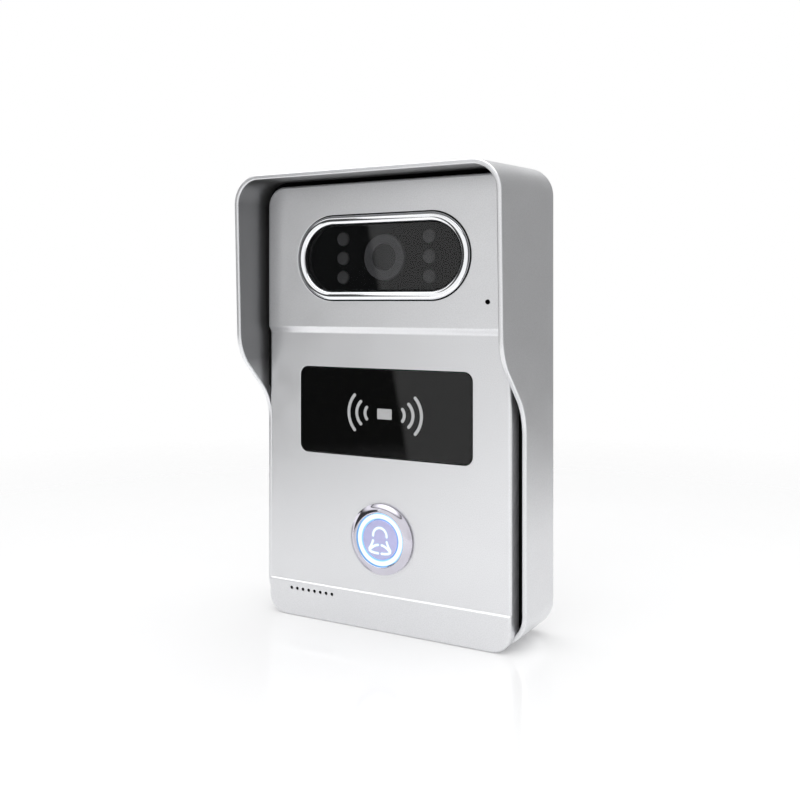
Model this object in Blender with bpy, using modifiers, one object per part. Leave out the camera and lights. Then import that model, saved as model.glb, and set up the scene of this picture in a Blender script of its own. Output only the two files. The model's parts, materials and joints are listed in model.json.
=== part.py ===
"""Outdoor video door station in a rain hood, built as an assembly of separate pieces.

Units are metres. +Z is up and -Y is the front. The origin is the centre of the hood's back
face, which lies against the wall. Inside the empty that holds every piece, X is across,
Y is up and Z is the depth, measured forwards from the wall.
"""

import math

import bmesh
import bpy
from mathutils import Matrix

MM = 0.001
CLEARANCE = 0.3 * MM  # between neighbouring pieces
OVERLAP = 0.5 * MM  # how far joined solids run into each other
BEYOND = 20 * MM  # how far a cutter runs past the face that it opens

# Front panel: a moulded tray with a raised brow above and a raised band below.
PANEL_WIDTH = 100 * MM
PANEL_HEIGHT = 162 * MM
PANEL_CORNER = 7.3 * MM
PANEL_EDGE = 1 * MM
PANEL_FACE = 29.7 * MM  # depth of the middle of the front, from the wall
PANEL_RIM = 7 * MM
PANEL_SIDE_WALL = 2.2 * MM
PANEL_FRONT_WALL = 2.4 * MM
BROW_RISE = 1.44 * MM
BROW_RAMP = 2.8 * MM
BROW_SHARE = 0.57  # place of the ramp between the reader and the camera opening
BAND_RISE = 0.55 * MM
BAND_RAMP = 0.9 * MM
BAND_HEIGHT = 12.7 * MM

# Rain hood: a deep tray whose side walls sweep back below the camera.
HOOD_WALL = 1.7 * MM
HOOD_SIDE_GAP = 2.2 * MM
HOOD_TOP_GAP = 3.05 * MM
HOOD_LIFT = 1.5 * MM  # from the panel's bottom edge up to the hood's
HOOD_CORNER = 10.5 * MM
VISOR_REACH = 17.3 * MM  # from the panel's face to the front of the visor
VISOR_LEAN = 1.7 * MM  # how much further the visor reaches at its top
VISOR_SLOPE = math.radians(2.45)
RIM_SETBACK = 3.9 * MM  # from the panel's face back to the low rim
RIM_SWEEP_START = 73.2 * MM  # above the panel's bottom
RIM_BEND = 18 * MM
RIM_ANGLE = math.radians(45)
WALL_SCREW_RADIUS = 2.25 * MM
WALL_SCREW_INSET = 22 * MM
CABLE_HOLE_RADIUS = 10 * MM
CABLE_HOLE_RISE = 22 * MM  # above the centre of the hood
DRAIN_RADIUS = 2.5 * MM
DRAIN_SPREAD = 30 * MM
DRAIN_DEPTH = 8 * MM
LOCK_SCREW_DEPTH = 15 * MM
LOCK_SCREW_RADIUS = 1.6 * MM
LOCK_HEAD_RADIUS = 3 * MM
LOCK_SCREW_LENGTH = 7 * MM

# Rear housing: a black tub behind the panel.
HOUSING_BACK = 4 * MM
HOUSING_WALL = 1.8 * MM
HOUSING_CORNER = 5 * MM
HOUSING_FIT = 0.4 * MM  # inside the panel's side wall
HOUSING_LIFT = 0.8 * MM  # from the hood's floor
GASKET_THICKNESS = 0.6 * MM
COLUMN_RADIUS = 4.2 * MM
COLUMN_INSET = 7.6 * MM  # from the panel's side edge
COLUMN_LOW = 22 * MM  # above the bottom
COLUMN_FROM_TOP = 10.3 * MM
POST_RADIUS = 2.8 * MM
POST_LENGTH = 3.3 * MM
CASE_SCREW_RADIUS = 1.2 * MM
CASE_HEAD_RADIUS = 2.6 * MM
CASE_HEAD_HEIGHT = 2.3 * MM
SERVICE_WINDOW = (36 * MM, 46 * MM, 3 * MM)  # width, height, corner
SERVICE_RISE = 10 * MM
HOOK_WIDTH = 8 * MM
HOOK_SHEET = 1.2 * MM
HOOK_SPREAD = 33 * MM
HOOK_RISE = 46 * MM
HOOK_LIP = 3.8 * MM
HOOK_PLATE = 9 * MM

# Camera behind its window and chrome bezel.
CAMERA_FROM_TOP = 27.5 * MM
CAMERA_SPAN = 40.4 * MM  # between the centres of the opening's round ends
CAMERA_OPENING = 15.8 * MM
BEZEL_FIT = 0.4 * MM
BEZEL_RING = 3.2 * MM
BEZEL_PROUD = 1.1 * MM
BEZEL_EDGE = 1.3 * MM
BEZEL_LEDGE = 1.2 * MM
BEZEL_FLANGE = 2 * MM
BEZEL_FLANGE_THICKNESS = 1.6 * MM
WINDOW_THICKNESS = 1.5 * MM
WINDOW_SINK = 0.15 * MM
MASK_THICKNESS = 1.6 * MM
LENS_RING_RADIUS = 8.3 * MM
LENS_RADIUS = 4.9 * MM
LENS_BARREL_RADIUS = 7 * MM
LENS_SINK = 2.3 * MM  # from the brow's face back to the front of the lens ring
LED_RADIUS = 2.5 * MM
LED_DOME = 1 * MM
LED_FLANGE = 0.4 * MM
LED_LENGTH = 7.6 * MM
LED_SPREAD = 18 * MM
LED_PITCH = 7.12 * MM
BOARD_THICKNESS = 1.2 * MM
LED_BOARD = (56 * MM, 21 * MM, 4 * MM)
CAMERA_BOARD = (50 * MM, 22 * MM, 2 * MM)
CAMERA_SCREW_SPREAD = 21 * MM
HOLDER_SIDE = 17 * MM
SENSOR_SIDE = 8 * MM

# Card reader window, flush in the panel.
READER_SIZE = (71.05 * MM, 31.6 * MM, 3 * MM)
READER_SHARE = 0.4447  # place between the button and the camera
READER_THICKNESS = 1.2 * MM
READER_LEDGE = 2.6 * MM
READER_BOARD_MARGIN = 1.5 * MM
COIL_MARGIN = 4.5 * MM
COIL_WIDTH = 3 * MM
COIL_THICKNESS = 0.7 * MM

# Call button.
BUTTON_HEIGHT = 33.3 * MM  # above the bottom
BUTTON_FLANGE = 12.7 * MM
BUTTON_CREST = 9.9 * MM
BUTTON_PROUD = 2.3 * MM
BARREL_RADIUS = 10.8 * MM
BARREL_LENGTH = 11.7 * MM
RING_OUTER = 9.55 * MM
RING_INNER = 7.5 * MM
RING_THICKNESS = 3.4 * MM
BUTTON_TRAVEL = 1.8 * MM
CAP_THICKNESS = 2 * MM
PLUNGER_RADIUS = 5 * MM
PLUNGER_FLANGE = 6.5 * MM
PLUNGER_STEM = 2.2 * MM
PLUNGER_LENGTH = 12.3 * MM
GUIDE_LENGTH = 2 * MM
BARREL_BORE = 8 * MM
SPRING_WIRE = 0.3 * MM
SPRING_RADIUS = 3.4 * MM
SPRING_TURNS = 4
SWITCH_RADIUS = 8.6 * MM
SWITCH_LENGTH = 5.1 * MM
SWITCH_PIN_RADIUS = 0.5 * MM
SWITCH_PIN_SPREAD = 4 * MM
NUT_ACROSS = 28 * MM
NUT_THICKNESS = 3 * MM
SEAL_WIDTH = 2.6 * MM

# Speaker and microphone.
SOUND_HOLES = 8
SOUND_HOLE_RADIUS = 0.6 * MM
SOUND_HOLE_PITCH = 2.6 * MM
SOUND_HOLES_INSET = 10.4 * MM  # of the first, from the left edge
SOUND_HOLES_HEIGHT = 10.4 * MM
SPEAKER_RADIUS = 12 * MM
SPEAKER_INSET = 23 * MM
SPEAKER_HEIGHT = 19 * MM
MAGNET_RADIUS = 6.2 * MM
MAGNET_THICKNESS = 3.4 * MM
MIC_HOLE_RADIUS = 0.85 * MM
MIC_INSET = 7.94 * MM
MIC_FROM_TOP = 43.6 * MM
MIC_RADIUS = 2.25 * MM
MIC_LENGTH = 2.6 * MM
BOOT_WALL = 0.65 * MM

# Main board.
MAIN_BOARD_GAP = 3.2 * MM  # from the housing's floor
MAIN_BOARD_THICKNESS = 1.6 * MM
MAIN_BOARD_LOW = 9.6 * MM  # above the bottom
MAIN_BOARD_BELOW_CAMERA = 16.9 * MM  # clear of the camera's posts
BOARD_POST_RADIUS = 3 * MM
BOARD_POST_INSET = 4.5 * MM
BOARD_SCREW_RADIUS = 0.8 * MM
BOARD_HEAD_RADIUS = 2.6 * MM
BOARD_HEAD_HEIGHT = 1.5 * MM

# Where the driving sizes put things.
HOOD_HEIGHT = PANEL_HEIGHT - HOOD_LIFT + HOOD_TOP_GAP + HOOD_WALL
TOP = HOOD_HEIGHT / 2
HOOD_BOTTOM = -TOP
BOTTOM = HOOD_BOTTOM - HOOD_LIFT
PANEL_TOP = BOTTOM + PANEL_HEIGHT
PANEL_CENTRE = (BOTTOM + PANEL_TOP) / 2
HOOD_WIDTH = PANEL_WIDTH + 2 * (HOOD_SIDE_GAP + HOOD_WALL)
RIM_LOW = PANEL_FACE - RIM_SETBACK
BROW_FACE = PANEL_FACE + BROW_RISE
PANEL_BACK = PANEL_FACE - PANEL_RIM
POCKET = PANEL_FACE - PANEL_FRONT_WALL
HOUSING_WIDTH = PANEL_WIDTH - 2 * (PANEL_SIDE_WALL + HOUSING_FIT)
HOUSING_TOP = PANEL_TOP - PANEL_SIDE_WALL - HOUSING_FIT
HOUSING_BOTTOM = HOOD_BOTTOM + HOOD_WALL + HOUSING_LIFT
HOUSING_HEIGHT = HOUSING_TOP - HOUSING_BOTTOM
HOUSING_CENTRE = (HOUSING_TOP + HOUSING_BOTTOM) / 2
HOUSING_FLOOR = HOUSING_BACK + HOUSING_WALL
GASKET_FRONT = POCKET - CLEARANCE
HOUSING_RIM = GASKET_FRONT - GASKET_THICKNESS - CLEARANCE
CAMERA_Y = PANEL_TOP - CAMERA_FROM_TOP
BUTTON_Y = BOTTOM + BUTTON_HEIGHT
READER_Y = BUTTON_Y + READER_SHARE * (CAMERA_Y - BUTTON_Y)
READER_TOP = READER_Y + READER_SIZE[1] / 2
CAMERA_LOW = CAMERA_Y - CAMERA_OPENING
RAMP_MIDDLE = READER_TOP + BROW_SHARE * (CAMERA_LOW - READER_TOP)
COLUMN_X = PANEL_WIDTH / 2 - COLUMN_INSET
COLUMN_SPOTS = [
    (side * COLUMN_X, y)
    for y in (BOTTOM + COLUMN_LOW, PANEL_TOP - COLUMN_FROM_TOP)
    for side in (-1, 1)
]
POST_END = POCKET - POST_LENGTH
BOARD_BACK = HOUSING_FLOOR + MAIN_BOARD_GAP
BOARD_FRONT = BOARD_BACK + MAIN_BOARD_THICKNESS
MAIN_BOARD_WIDTH = 2 * (COLUMN_X - COLUMN_RADIUS - CLEARANCE)
MAIN_BOARD_HEIGHT = CAMERA_Y - MAIN_BOARD_BELOW_CAMERA - (BOTTOM + MAIN_BOARD_LOW)
MAIN_BOARD_Y = BOTTOM + MAIN_BOARD_LOW + MAIN_BOARD_HEIGHT / 2
BOARD_SPOT_X = MAIN_BOARD_WIDTH / 2 - BOARD_POST_INSET
BOARD_SPOT_Y = MAIN_BOARD_HEIGHT / 2 - BOARD_POST_INSET
BOARD_SPOTS = [
    (side * BOARD_SPOT_X, MAIN_BOARD_Y + end * BOARD_SPOT_Y) for end in (-1, 1) for side in (-1, 1)
]
CAMERA_SPOTS = [(side * CAMERA_SCREW_SPREAD, CAMERA_Y) for side in (-1, 1)]
BEZEL_RADIUS = CAMERA_OPENING - BEZEL_FIT
GLASS_POCKET = BEZEL_RADIUS - BEZEL_RING
WINDOW_FRONT = BROW_FACE - WINDOW_SINK
WINDOW_BACK = WINDOW_FRONT - WINDOW_THICKNESS
LEDGE_FRONT = WINDOW_BACK - CLEARANCE
LEDGE_BACK = LEDGE_FRONT - BEZEL_LEDGE
MASK_FRONT = LEDGE_BACK - CLEARANCE
MASK_BACK = MASK_FRONT - MASK_THICKNESS
LENS_FRONT = BROW_FACE - LENS_SINK
LED_BACK = LENS_FRONT - LED_LENGTH
LED_BOARD_BACK = LED_BACK - CLEARANCE - BOARD_THICKNESS
HOLDER_FRONT = LED_BOARD_BACK - CLEARANCE
CAMERA_BOARD_FRONT = HOLDER_FRONT - 4.2 * MM
CAMERA_BOARD_BACK = CAMERA_BOARD_FRONT - BOARD_THICKNESS
READER_BACK = PANEL_FACE - READER_THICKNESS
SPEAKER_X = SPEAKER_INSET - PANEL_WIDTH / 2
SPEAKER_Y = BOTTOM + SPEAKER_HEIGHT
MIC_X = PANEL_WIDTH / 2 - MIC_INSET
MIC_Y = PANEL_TOP - MIC_FROM_TOP
CREST = PANEL_FACE + BUTTON_PROUD
CAP_FRONT = CREST - 0.6 * MM
RING_FRONT = CREST - 0.6 * MM
RING_BACK = RING_FRONT - RING_THICKNESS
PLUNGER_FRONT = CAP_FRONT - CAP_THICKNESS - CLEARANCE
PLUNGER_BACK = PLUNGER_FRONT - PLUNGER_LENGTH
BARREL_BACK = PANEL_FACE - BARREL_LENGTH
SWITCH_FRONT = BARREL_BACK - CLEARANCE
SWITCH_BACK = SWITCH_FRONT - SWITCH_LENGTH
GUIDE_FRONT = RING_BACK - 2 * CLEARANCE
FLANGE_FRONT = GUIDE_FRONT - GUIDE_LENGTH - CLEARANCE
FLANGE_BACK = FLANGE_FRONT - 1 * MM

COLOURS = {
    "silver_paint": ((0.60, 0.61, 0.62), 0.38, 0.75),
    "black_plastic": ((0.02, 0.02, 0.022), 0.45, 0.0),
    "black_glass": ((0.012, 0.013, 0.014), 0.06, 0.0),
    "chrome": ((0.83, 0.84, 0.86), 0.08, 1.0),
    "lens_ring": ((0.10, 0.10, 0.11), 0.3, 0.2),
    "lens_glass": ((0.03, 0.03, 0.05), 0.03, 0.0),
    "led_resin": ((0.14, 0.14, 0.15), 0.12, 0.0),
    "button_metal": ((0.62, 0.64, 0.80), 0.35, 0.7),
    "light_guide": ((0.85, 0.90, 1.0), 0.3, 0.0),
    "rubber": ((0.03, 0.03, 0.03), 0.8, 0.0),
    "board_green": ((0.02, 0.16, 0.07), 0.45, 0.0),
    "steel": ((0.56, 0.57, 0.58), 0.3, 1.0),
    "copper": ((0.72, 0.36, 0.18), 0.35, 1.0),
    "white_plastic": ((0.75, 0.75, 0.72), 0.45, 0.0),
    "blue_plastic": ((0.05, 0.14, 0.42), 0.4, 0.0),
    "paper_cone": ((0.05, 0.05, 0.05), 0.9, 0.0),
}


def clear_scene():
    for obj in list(bpy.data.objects):
        bpy.data.objects.remove(obj, do_unlink=True)


def new_collection(name):
    collection = bpy.data.collections.new(name)
    bpy.context.scene.collection.children.link(collection)
    return collection


def make_materials():
    made = {}
    for name, (colour, roughness, metallic) in COLOURS.items():
        material = bpy.data.materials.new(name)
        material.use_nodes = True
        shader = material.node_tree.nodes["Principled BSDF"]
        shader.inputs["Base Color"].default_value = (*colour, 1)
        shader.inputs["Roughness"].default_value = roughness
        shader.inputs["Metallic"].default_value = metallic
        made[name] = material
    return made


clear_scene()
PARTS = new_collection("door_station")
CUTTERS = new_collection("cutters")
MATERIALS = make_materials()
UNIT = bpy.data.objects.new("unit", None)
PARTS.objects.link(UNIT)
UNIT.rotation_euler = (math.pi / 2, 0, 0)


# ---------------------------------------------------------------- outlines


def rounded(width, height, corner, centre=(0, 0), steps=6):
    """A rectangle with round corners, anticlockwise."""
    points = []
    for quarter, (sx, sy) in enumerate([(1, 1), (-1, 1), (-1, -1), (1, -1)]):
        middle = (centre[0] + sx * (width / 2 - corner), centre[1] + sy * (height / 2 - corner))
        for step in range(steps + 1):
            angle = math.pi / 2 * (quarter + step / steps)
            points.append((middle[0] + corner * math.cos(angle), middle[1] + corner * math.sin(angle)))
    return points


def stadium(span, radius, centre, steps=8):
    """Two half circles whose centres are a span apart, joined by straight lines."""
    points = []
    for side in (1, -1):
        for step in range(2 * steps + 1):
            angle = math.pi / (2 * steps) * step - side * math.pi / 2
            x = centre[0] + side * span / 2 + radius * math.cos(angle)
            points.append((x, centre[1] + radius * math.sin(angle)))
    return points


def polygon(sides, across, centre):
    """A regular polygon, by its width across flats."""
    radius = across / 2 / math.cos(math.pi / sides)
    turns = [2 * math.pi * (k + 0.5) / sides for k in range(sides)]
    return [(centre[0] + radius * math.cos(a), centre[1] + radius * math.sin(a)) for a in turns]


# ---------------------------------------------------------------- solids


def place(name, mesh, material, at=(0, 0, 0)):
    obj = bpy.data.objects.new(name, mesh)
    PARTS.objects.link(obj)
    obj.parent = UNIT
    obj.location = at
    mesh.materials.clear()
    mesh.materials.append(MATERIALS[material])
    return obj


def as_cutter(obj):
    """Moves a solid to the cutters, which only shape other pieces."""
    PARTS.objects.unlink(obj)
    CUTTERS.objects.link(obj)
    obj.hide_render = True
    obj.display_type = "WIRE"
    return obj


def evaluated_mesh(obj):
    """The object's mesh as its curve and modifiers make it. The object is removed."""
    bpy.context.view_layer.update()
    graph = bpy.context.evaluated_depsgraph_get()
    mesh = bpy.data.meshes.new_from_object(obj.evaluated_get(graph))
    bpy.data.objects.remove(obj, do_unlink=True)
    return mesh


def at_depth(edge, depth):
    return all(abs(v.co.z - depth) < 1e-7 for v in edge.verts)


def slab_mesh(outline, back, front, edge=0.0, back_edge=0.0):
    """A flat outline with thickness; edge and back_edge round its two rims."""
    curve = bpy.data.curves.new("outline", "CURVE")
    curve.dimensions = "2D"
    curve.fill_mode = "BOTH"
    curve.extrude = (front - back) / 2
    spline = curve.splines.new("POLY")
    spline.points.add(len(outline) - 1)
    for point, (x, y) in zip(spline.points, outline):
        point.co = (x, y, 0, 1)
    spline.use_cyclic_u = True
    holder = bpy.data.objects.new("outline", curve)
    PARTS.objects.link(holder)
    mesh = evaluated_mesh(holder)
    solid = bmesh.new()
    solid.from_mesh(mesh)
    bmesh.ops.remove_doubles(solid, verts=solid.verts, dist=1e-6)
    bmesh.ops.translate(solid, verts=solid.verts, vec=(0, 0, (front + back) / 2))
    bmesh.ops.recalc_face_normals(solid, faces=solid.faces)
    for depth in (front, back):
        cap = [f for f in solid.faces if all(abs(v.co.z - depth) < 1e-7 for v in f.verts)]
        bmesh.ops.dissolve_faces(solid, faces=cap)
    for depth, width in ((front, edge), (back, back_edge)):
        if width:
            rim = [e for e in solid.edges if at_depth(e, depth)]
            bmesh.ops.bevel(
                solid, geom=rim, offset=width, segments=3, profile=0.5, affect="EDGES"
            )
    solid.to_mesh(mesh)
    solid.free()
    return mesh


def slab(name, outline, back, front, material, edge=0.0, back_edge=0.0):
    return place(name, slab_mesh(outline, back, front, edge, back_edge), material)


def sideways_slab(name, outline, width, material, across=0.0):
    """A slab whose outline is (depth, height) and whose thickness runs along X."""
    mesh = slab_mesh(outline, across - width / 2, across + width / 2)
    mesh.transform(Matrix(((0, 0, 1, 0), (0, 1, 0, 0), (1, 0, 0, 0), (0, 0, 0, 1))))
    mesh.flip_normals()
    return place(name, mesh, material)


def turned(name, profile, at, material, ring=False, steps=24, upright=False):
    """A profile of (radius, distance) turned about an axis through at.

    The distance runs forwards, or upwards where upright is set. The profile runs down its
    outer side, front to back, and a ring's profile then closes up its inner side.
    """
    mesh = bpy.data.meshes.new(name)
    edges = [(k, k + 1) for k in range(len(profile) - 1)]
    if ring:
        edges.append((len(profile) - 1, 0))
    mesh.from_pydata([(radius, 0, along) for radius, along in profile], edges, [])
    obj = place(name, mesh, material, at)
    if upright:
        obj.rotation_euler = (-math.pi / 2, 0, 0)
    screw = obj.modifiers.new("turn", "SCREW")
    screw.axis = "Z"
    screw.angle = 2 * math.pi
    screw.steps = steps
    screw.render_steps = steps
    screw.use_merge_vertices = True
    screw.merge_threshold = 1e-6
    return obj


def disc(radius, front, back):
    """The profile of a plain round piece."""
    return [(0, front), (radius, front), (radius, back), (0, back)]


def rods(name, spots, radius, back, front, steps=16):
    """A cutter of one or more parallel round rods."""
    solid = bmesh.new()
    for x, y in spots:
        bmesh.ops.create_cone(
            solid,
            cap_ends=True,
            segments=steps,
            radius1=radius,
            radius2=radius,
            depth=front - back,
            matrix=Matrix.Translation((x, y, (front + back) / 2)),
        )
    mesh = bpy.data.meshes.new(name)
    solid.to_mesh(mesh)
    solid.free()
    return as_cutter(place(name, mesh, "steel"))


def upright_rod(name, at, radius_low, radius_high, low, high):
    """A cutter along Y, for a hole through the hood's or the housing's bottom."""
    profile = [(0, high), (radius_high, high), (radius_low, low), (0, low)]
    return as_cutter(turned(name, profile, at, "steel", steps=24, upright=True))


def slab_cutter(name, outline, back, front):
    return as_cutter(slab(name, outline, back, front, "steel"))


def change(obj, operation, *others):
    for other in others:
        modifier = obj.modifiers.new(other.name, "BOOLEAN")
        modifier.operation = operation
        modifier.object = other


def cut(obj, *cutters):
    change(obj, "DIFFERENCE", *cutters)


def join(obj, *others):
    """The others become part of obj, and stay only as its helpers."""
    change(obj, "UNION", *[as_cutter(other) for other in others])


# ---------------------------------------------------------------- rain hood


def slope_top(mesh):
    """Leans the top face down towards the front."""
    for vertex in mesh.vertices:
        if vertex.co.y > 0:
            vertex.co.y -= math.tan(VISOR_SLOPE) * vertex.co.z


def rim_outline():
    """(depth, height) around the space in front of the hood's side rim."""
    high = PANEL_FACE + VISOR_REACH - VISOR_LEAN
    bend_rise = RIM_BEND * math.sin(RIM_ANGLE)
    bend_shift = RIM_BEND * (1 - math.cos(RIM_ANGLE))
    slant_rise = (high - RIM_LOW - 2 * bend_shift) / math.tan(RIM_ANGLE)
    start = BOTTOM + RIM_SWEEP_START
    end = start + 2 * bend_rise + slant_rise
    steps = 8
    turns = [RIM_ANGLE * step / steps for step in range(steps + 1)]
    points = [(RIM_LOW, BOTTOM - BEYOND)]
    for angle in turns:
        points.append((RIM_LOW + RIM_BEND * (1 - math.cos(angle)), start + RIM_BEND * math.sin(angle)))
    for angle in reversed(turns):
        points.append((high - RIM_BEND * (1 - math.cos(angle)), end - RIM_BEND * math.sin(angle)))
    lean = VISOR_LEAN / (TOP - end)
    points.append((high + lean * (TOP + BEYOND - end), TOP + BEYOND))
    points.append((high + 2 * BEYOND, TOP + BEYOND))
    points.append((high + 2 * BEYOND, BOTTOM - BEYOND))
    return points


def hood_outline(inset):
    return rounded(HOOD_WIDTH - 2 * inset, HOOD_HEIGHT - 2 * inset, HOOD_CORNER - inset)


def make_hood():
    front = PANEL_FACE + VISOR_REACH + BEYOND
    outer = hood_outline(0)
    inner = hood_outline(HOOD_WALL)
    hood = slab("rain_hood", outer, 0, front, "silver_paint")
    hollow = slab_cutter("hood_hollow", inner, HOOD_WALL, front + BEYOND)
    for obj in (hood, hollow):
        slope_top(obj.data)
    rim = as_cutter(sideways_slab("hood_rim", rim_outline(), HOOD_WIDTH + BEYOND, "steel"))
    screws = [
        (sx * (HOOD_WIDTH / 2 - WALL_SCREW_INSET), sy * (TOP - WALL_SCREW_INSET))
        for sx in (-1, 1)
        for sy in (-1, 1)
    ]
    back_holes = rods("wall_screw_holes", screws, WALL_SCREW_RADIUS, -BEYOND, HOOD_WALL + MM)
    cable_hole = rods(
        "cable_hole", [(0, CABLE_HOLE_RISE)], CABLE_HOLE_RADIUS, -BEYOND, HOOD_WALL + MM, steps=32
    )
    drains = [
        upright_rod(
            f"drain_{k}",
            (side * DRAIN_SPREAD, HOOD_BOTTOM, DRAIN_DEPTH),
            DRAIN_RADIUS,
            DRAIN_RADIUS,
            -MM,
            HOOD_WALL + MM,
        )
        for k, side in enumerate((-1, 1))
    ]
    sink = (LOCK_HEAD_RADIUS - LOCK_SCREW_RADIUS) / HOOD_WALL
    lock_hole = upright_rod(
        "lock_hole",
        (0, HOOD_BOTTOM, LOCK_SCREW_DEPTH),
        LOCK_HEAD_RADIUS + 2 * CLEARANCE + sink * MM,
        LOCK_SCREW_RADIUS + 2 * CLEARANCE - sink * MM / 2,
        -MM,
        HOOD_WALL + MM / 2,
    )
    cut(hood, hollow, rim, back_holes, cable_hole, *drains, lock_hole)


def make_grommet():
    outer = CABLE_HOLE_RADIUS - CLEARANCE
    lip = CABLE_HOLE_RADIUS + 1.2 * MM
    bore = CABLE_HOLE_RADIUS - 3 * MM
    seat = HOOD_WALL + CLEARANCE
    front = seat + 1.1 * MM
    profile = [
        (bore, front),
        (lip, front),
        (lip, seat),
        (outer, seat),
        (outer, CLEARANCE),
        (bore, CLEARANCE),
    ]
    turned("cable_grommet", profile, (0, CABLE_HOLE_RISE, 0), "rubber", ring=True)


def make_hooks():
    """Two steel hooks on the hood's back plate, which the housing hangs on."""
    back = HOOD_WALL + CLEARANCE
    lip_back = HOUSING_FLOOR + CLEARANCE
    low = HOOK_RISE
    outline = [
        (back, low),
        (lip_back + HOOK_SHEET, low),
        (lip_back + HOOK_SHEET, low + HOOK_SHEET + HOOK_LIP),
        (lip_back, low + HOOK_SHEET + HOOK_LIP),
        (lip_back, low + HOOK_SHEET),
        (back + HOOK_SHEET, low + HOOK_SHEET),
        (back + HOOK_SHEET, low + HOOK_PLATE),
        (back, low + HOOK_PLATE),
    ]
    for name, side in (("hanger_hook_left", -1), ("hanger_hook_right", 1)):
        sideways_slab(name, outline, HOOK_WIDTH, "steel", across=side * HOOK_SPREAD)


# ---------------------------------------------------------------- front panel


def front_rise(y):
    """How far the panel's front stands proud of its middle at this height."""
    ramp_low = RAMP_MIDDLE - BROW_RAMP / 2
    band_top = BOTTOM + BAND_HEIGHT
    brow = min(max((y - ramp_low) / BROW_RAMP, 0), 1)
    band = min(max((band_top + BAND_RAMP - y) / BAND_RAMP, 0), 1)
    return brow * BROW_RISE + band * BAND_RISE


def step_front(mesh):
    """Raises the brow and the band from a flat panel."""
    solid = bmesh.new()
    solid.from_mesh(mesh)
    band_top = BOTTOM + BAND_HEIGHT
    levels = [band_top, band_top + BAND_RAMP, RAMP_MIDDLE - BROW_RAMP / 2, RAMP_MIDDLE + BROW_RAMP / 2]
    for level in levels:
        geometry = solid.verts[:] + solid.edges[:] + solid.faces[:]
        bmesh.ops.bisect_plane(
            solid, geom=geometry, dist=1e-7, plane_co=(0, level, 0), plane_no=(0, 1, 0)
        )
    for vertex in solid.verts:
        if vertex.co.z > PANEL_FACE - PANEL_EDGE - 1e-6:
            vertex.co.z += front_rise(vertex.co.y)
    solid.to_mesh(mesh)
    solid.free()


def make_panel():
    outline = rounded(PANEL_WIDTH, PANEL_HEIGHT, PANEL_CORNER, (0, PANEL_CENTRE))
    panel = slab("front_panel", outline, PANEL_BACK, PANEL_FACE, "silver_paint", edge=PANEL_EDGE)
    step_front(panel.data)
    inner = rounded(
        PANEL_WIDTH - 2 * PANEL_SIDE_WALL,
        PANEL_HEIGHT - 2 * PANEL_SIDE_WALL,
        PANEL_CORNER - PANEL_SIDE_WALL,
        (0, PANEL_CENTRE),
    )
    past = BROW_FACE + BEYOND
    hollow = slab_cutter("panel_hollow", inner, PANEL_BACK - BEYOND, POCKET)
    around = rounded(PANEL_WIDTH + BEYOND, HOOD_HEIGHT + BEYOND, PANEL_CORNER)
    trim_front = RIM_LOW + CLEARANCE
    hood_room = slab_cutter("hood_room", around, PANEL_BACK - MM, trim_front)
    inside_hood = hood_outline(HOOD_WALL + CLEARANCE)
    cut(hood_room, slab_cutter("skirt_room", inside_hood, PANEL_BACK - 2 * MM, trim_front + MM))
    camera = slab_cutter("camera_opening", stadium(CAMERA_SPAN, CAMERA_OPENING, (0, CAMERA_Y)), 0, past)
    width, height, corner = READER_SIZE
    pocket = rounded(width + 2 * CLEARANCE, height + 2 * CLEARANCE, corner + CLEARANCE, (0, READER_Y), 6)
    light = rounded(width - 2 * READER_LEDGE, height - 2 * READER_LEDGE, corner / 2, (0, READER_Y), 4)
    reader_pocket = slab_cutter("reader_pocket", pocket, READER_BACK - CLEARANCE, past)
    reader_opening = slab_cutter("reader_opening", light, 0, past)
    button = rods("button_hole", [(0, BUTTON_Y)], BARREL_RADIUS + CLEARANCE, 0, past, steps=40)
    first = SOUND_HOLES_INSET - PANEL_WIDTH / 2
    sound_spots = [(first + k * SOUND_HOLE_PITCH, BOTTOM + SOUND_HOLES_HEIGHT) for k in range(SOUND_HOLES)]
    sound = rods("sound_holes", sound_spots, SOUND_HOLE_RADIUS, 0, past, steps=12)
    mic = rods("mic_hole", [(MIC_X, MIC_Y)], MIC_HOLE_RADIUS, 0, past, steps=12)
    posts = [
        turned(
            f"panel_post_{k}",
            disc(POST_RADIUS, POCKET + OVERLAP, POST_END),
            (x, y, 0),
            "silver_paint",
            steps=14,
        )
        for k, (x, y) in enumerate(COLUMN_SPOTS)
    ]
    pilot = rods(
        "panel_pilot_holes", COLUMN_SPOTS, CASE_SCREW_RADIUS + CLEARANCE, 0, POCKET - OVERLAP, steps=12
    )
    cut(panel, hollow, hood_room)
    join(panel, *posts)
    cut(panel, pilot, camera, reader_pocket, reader_opening, button, sound, mic)


# ---------------------------------------------------------------- rear housing


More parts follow.
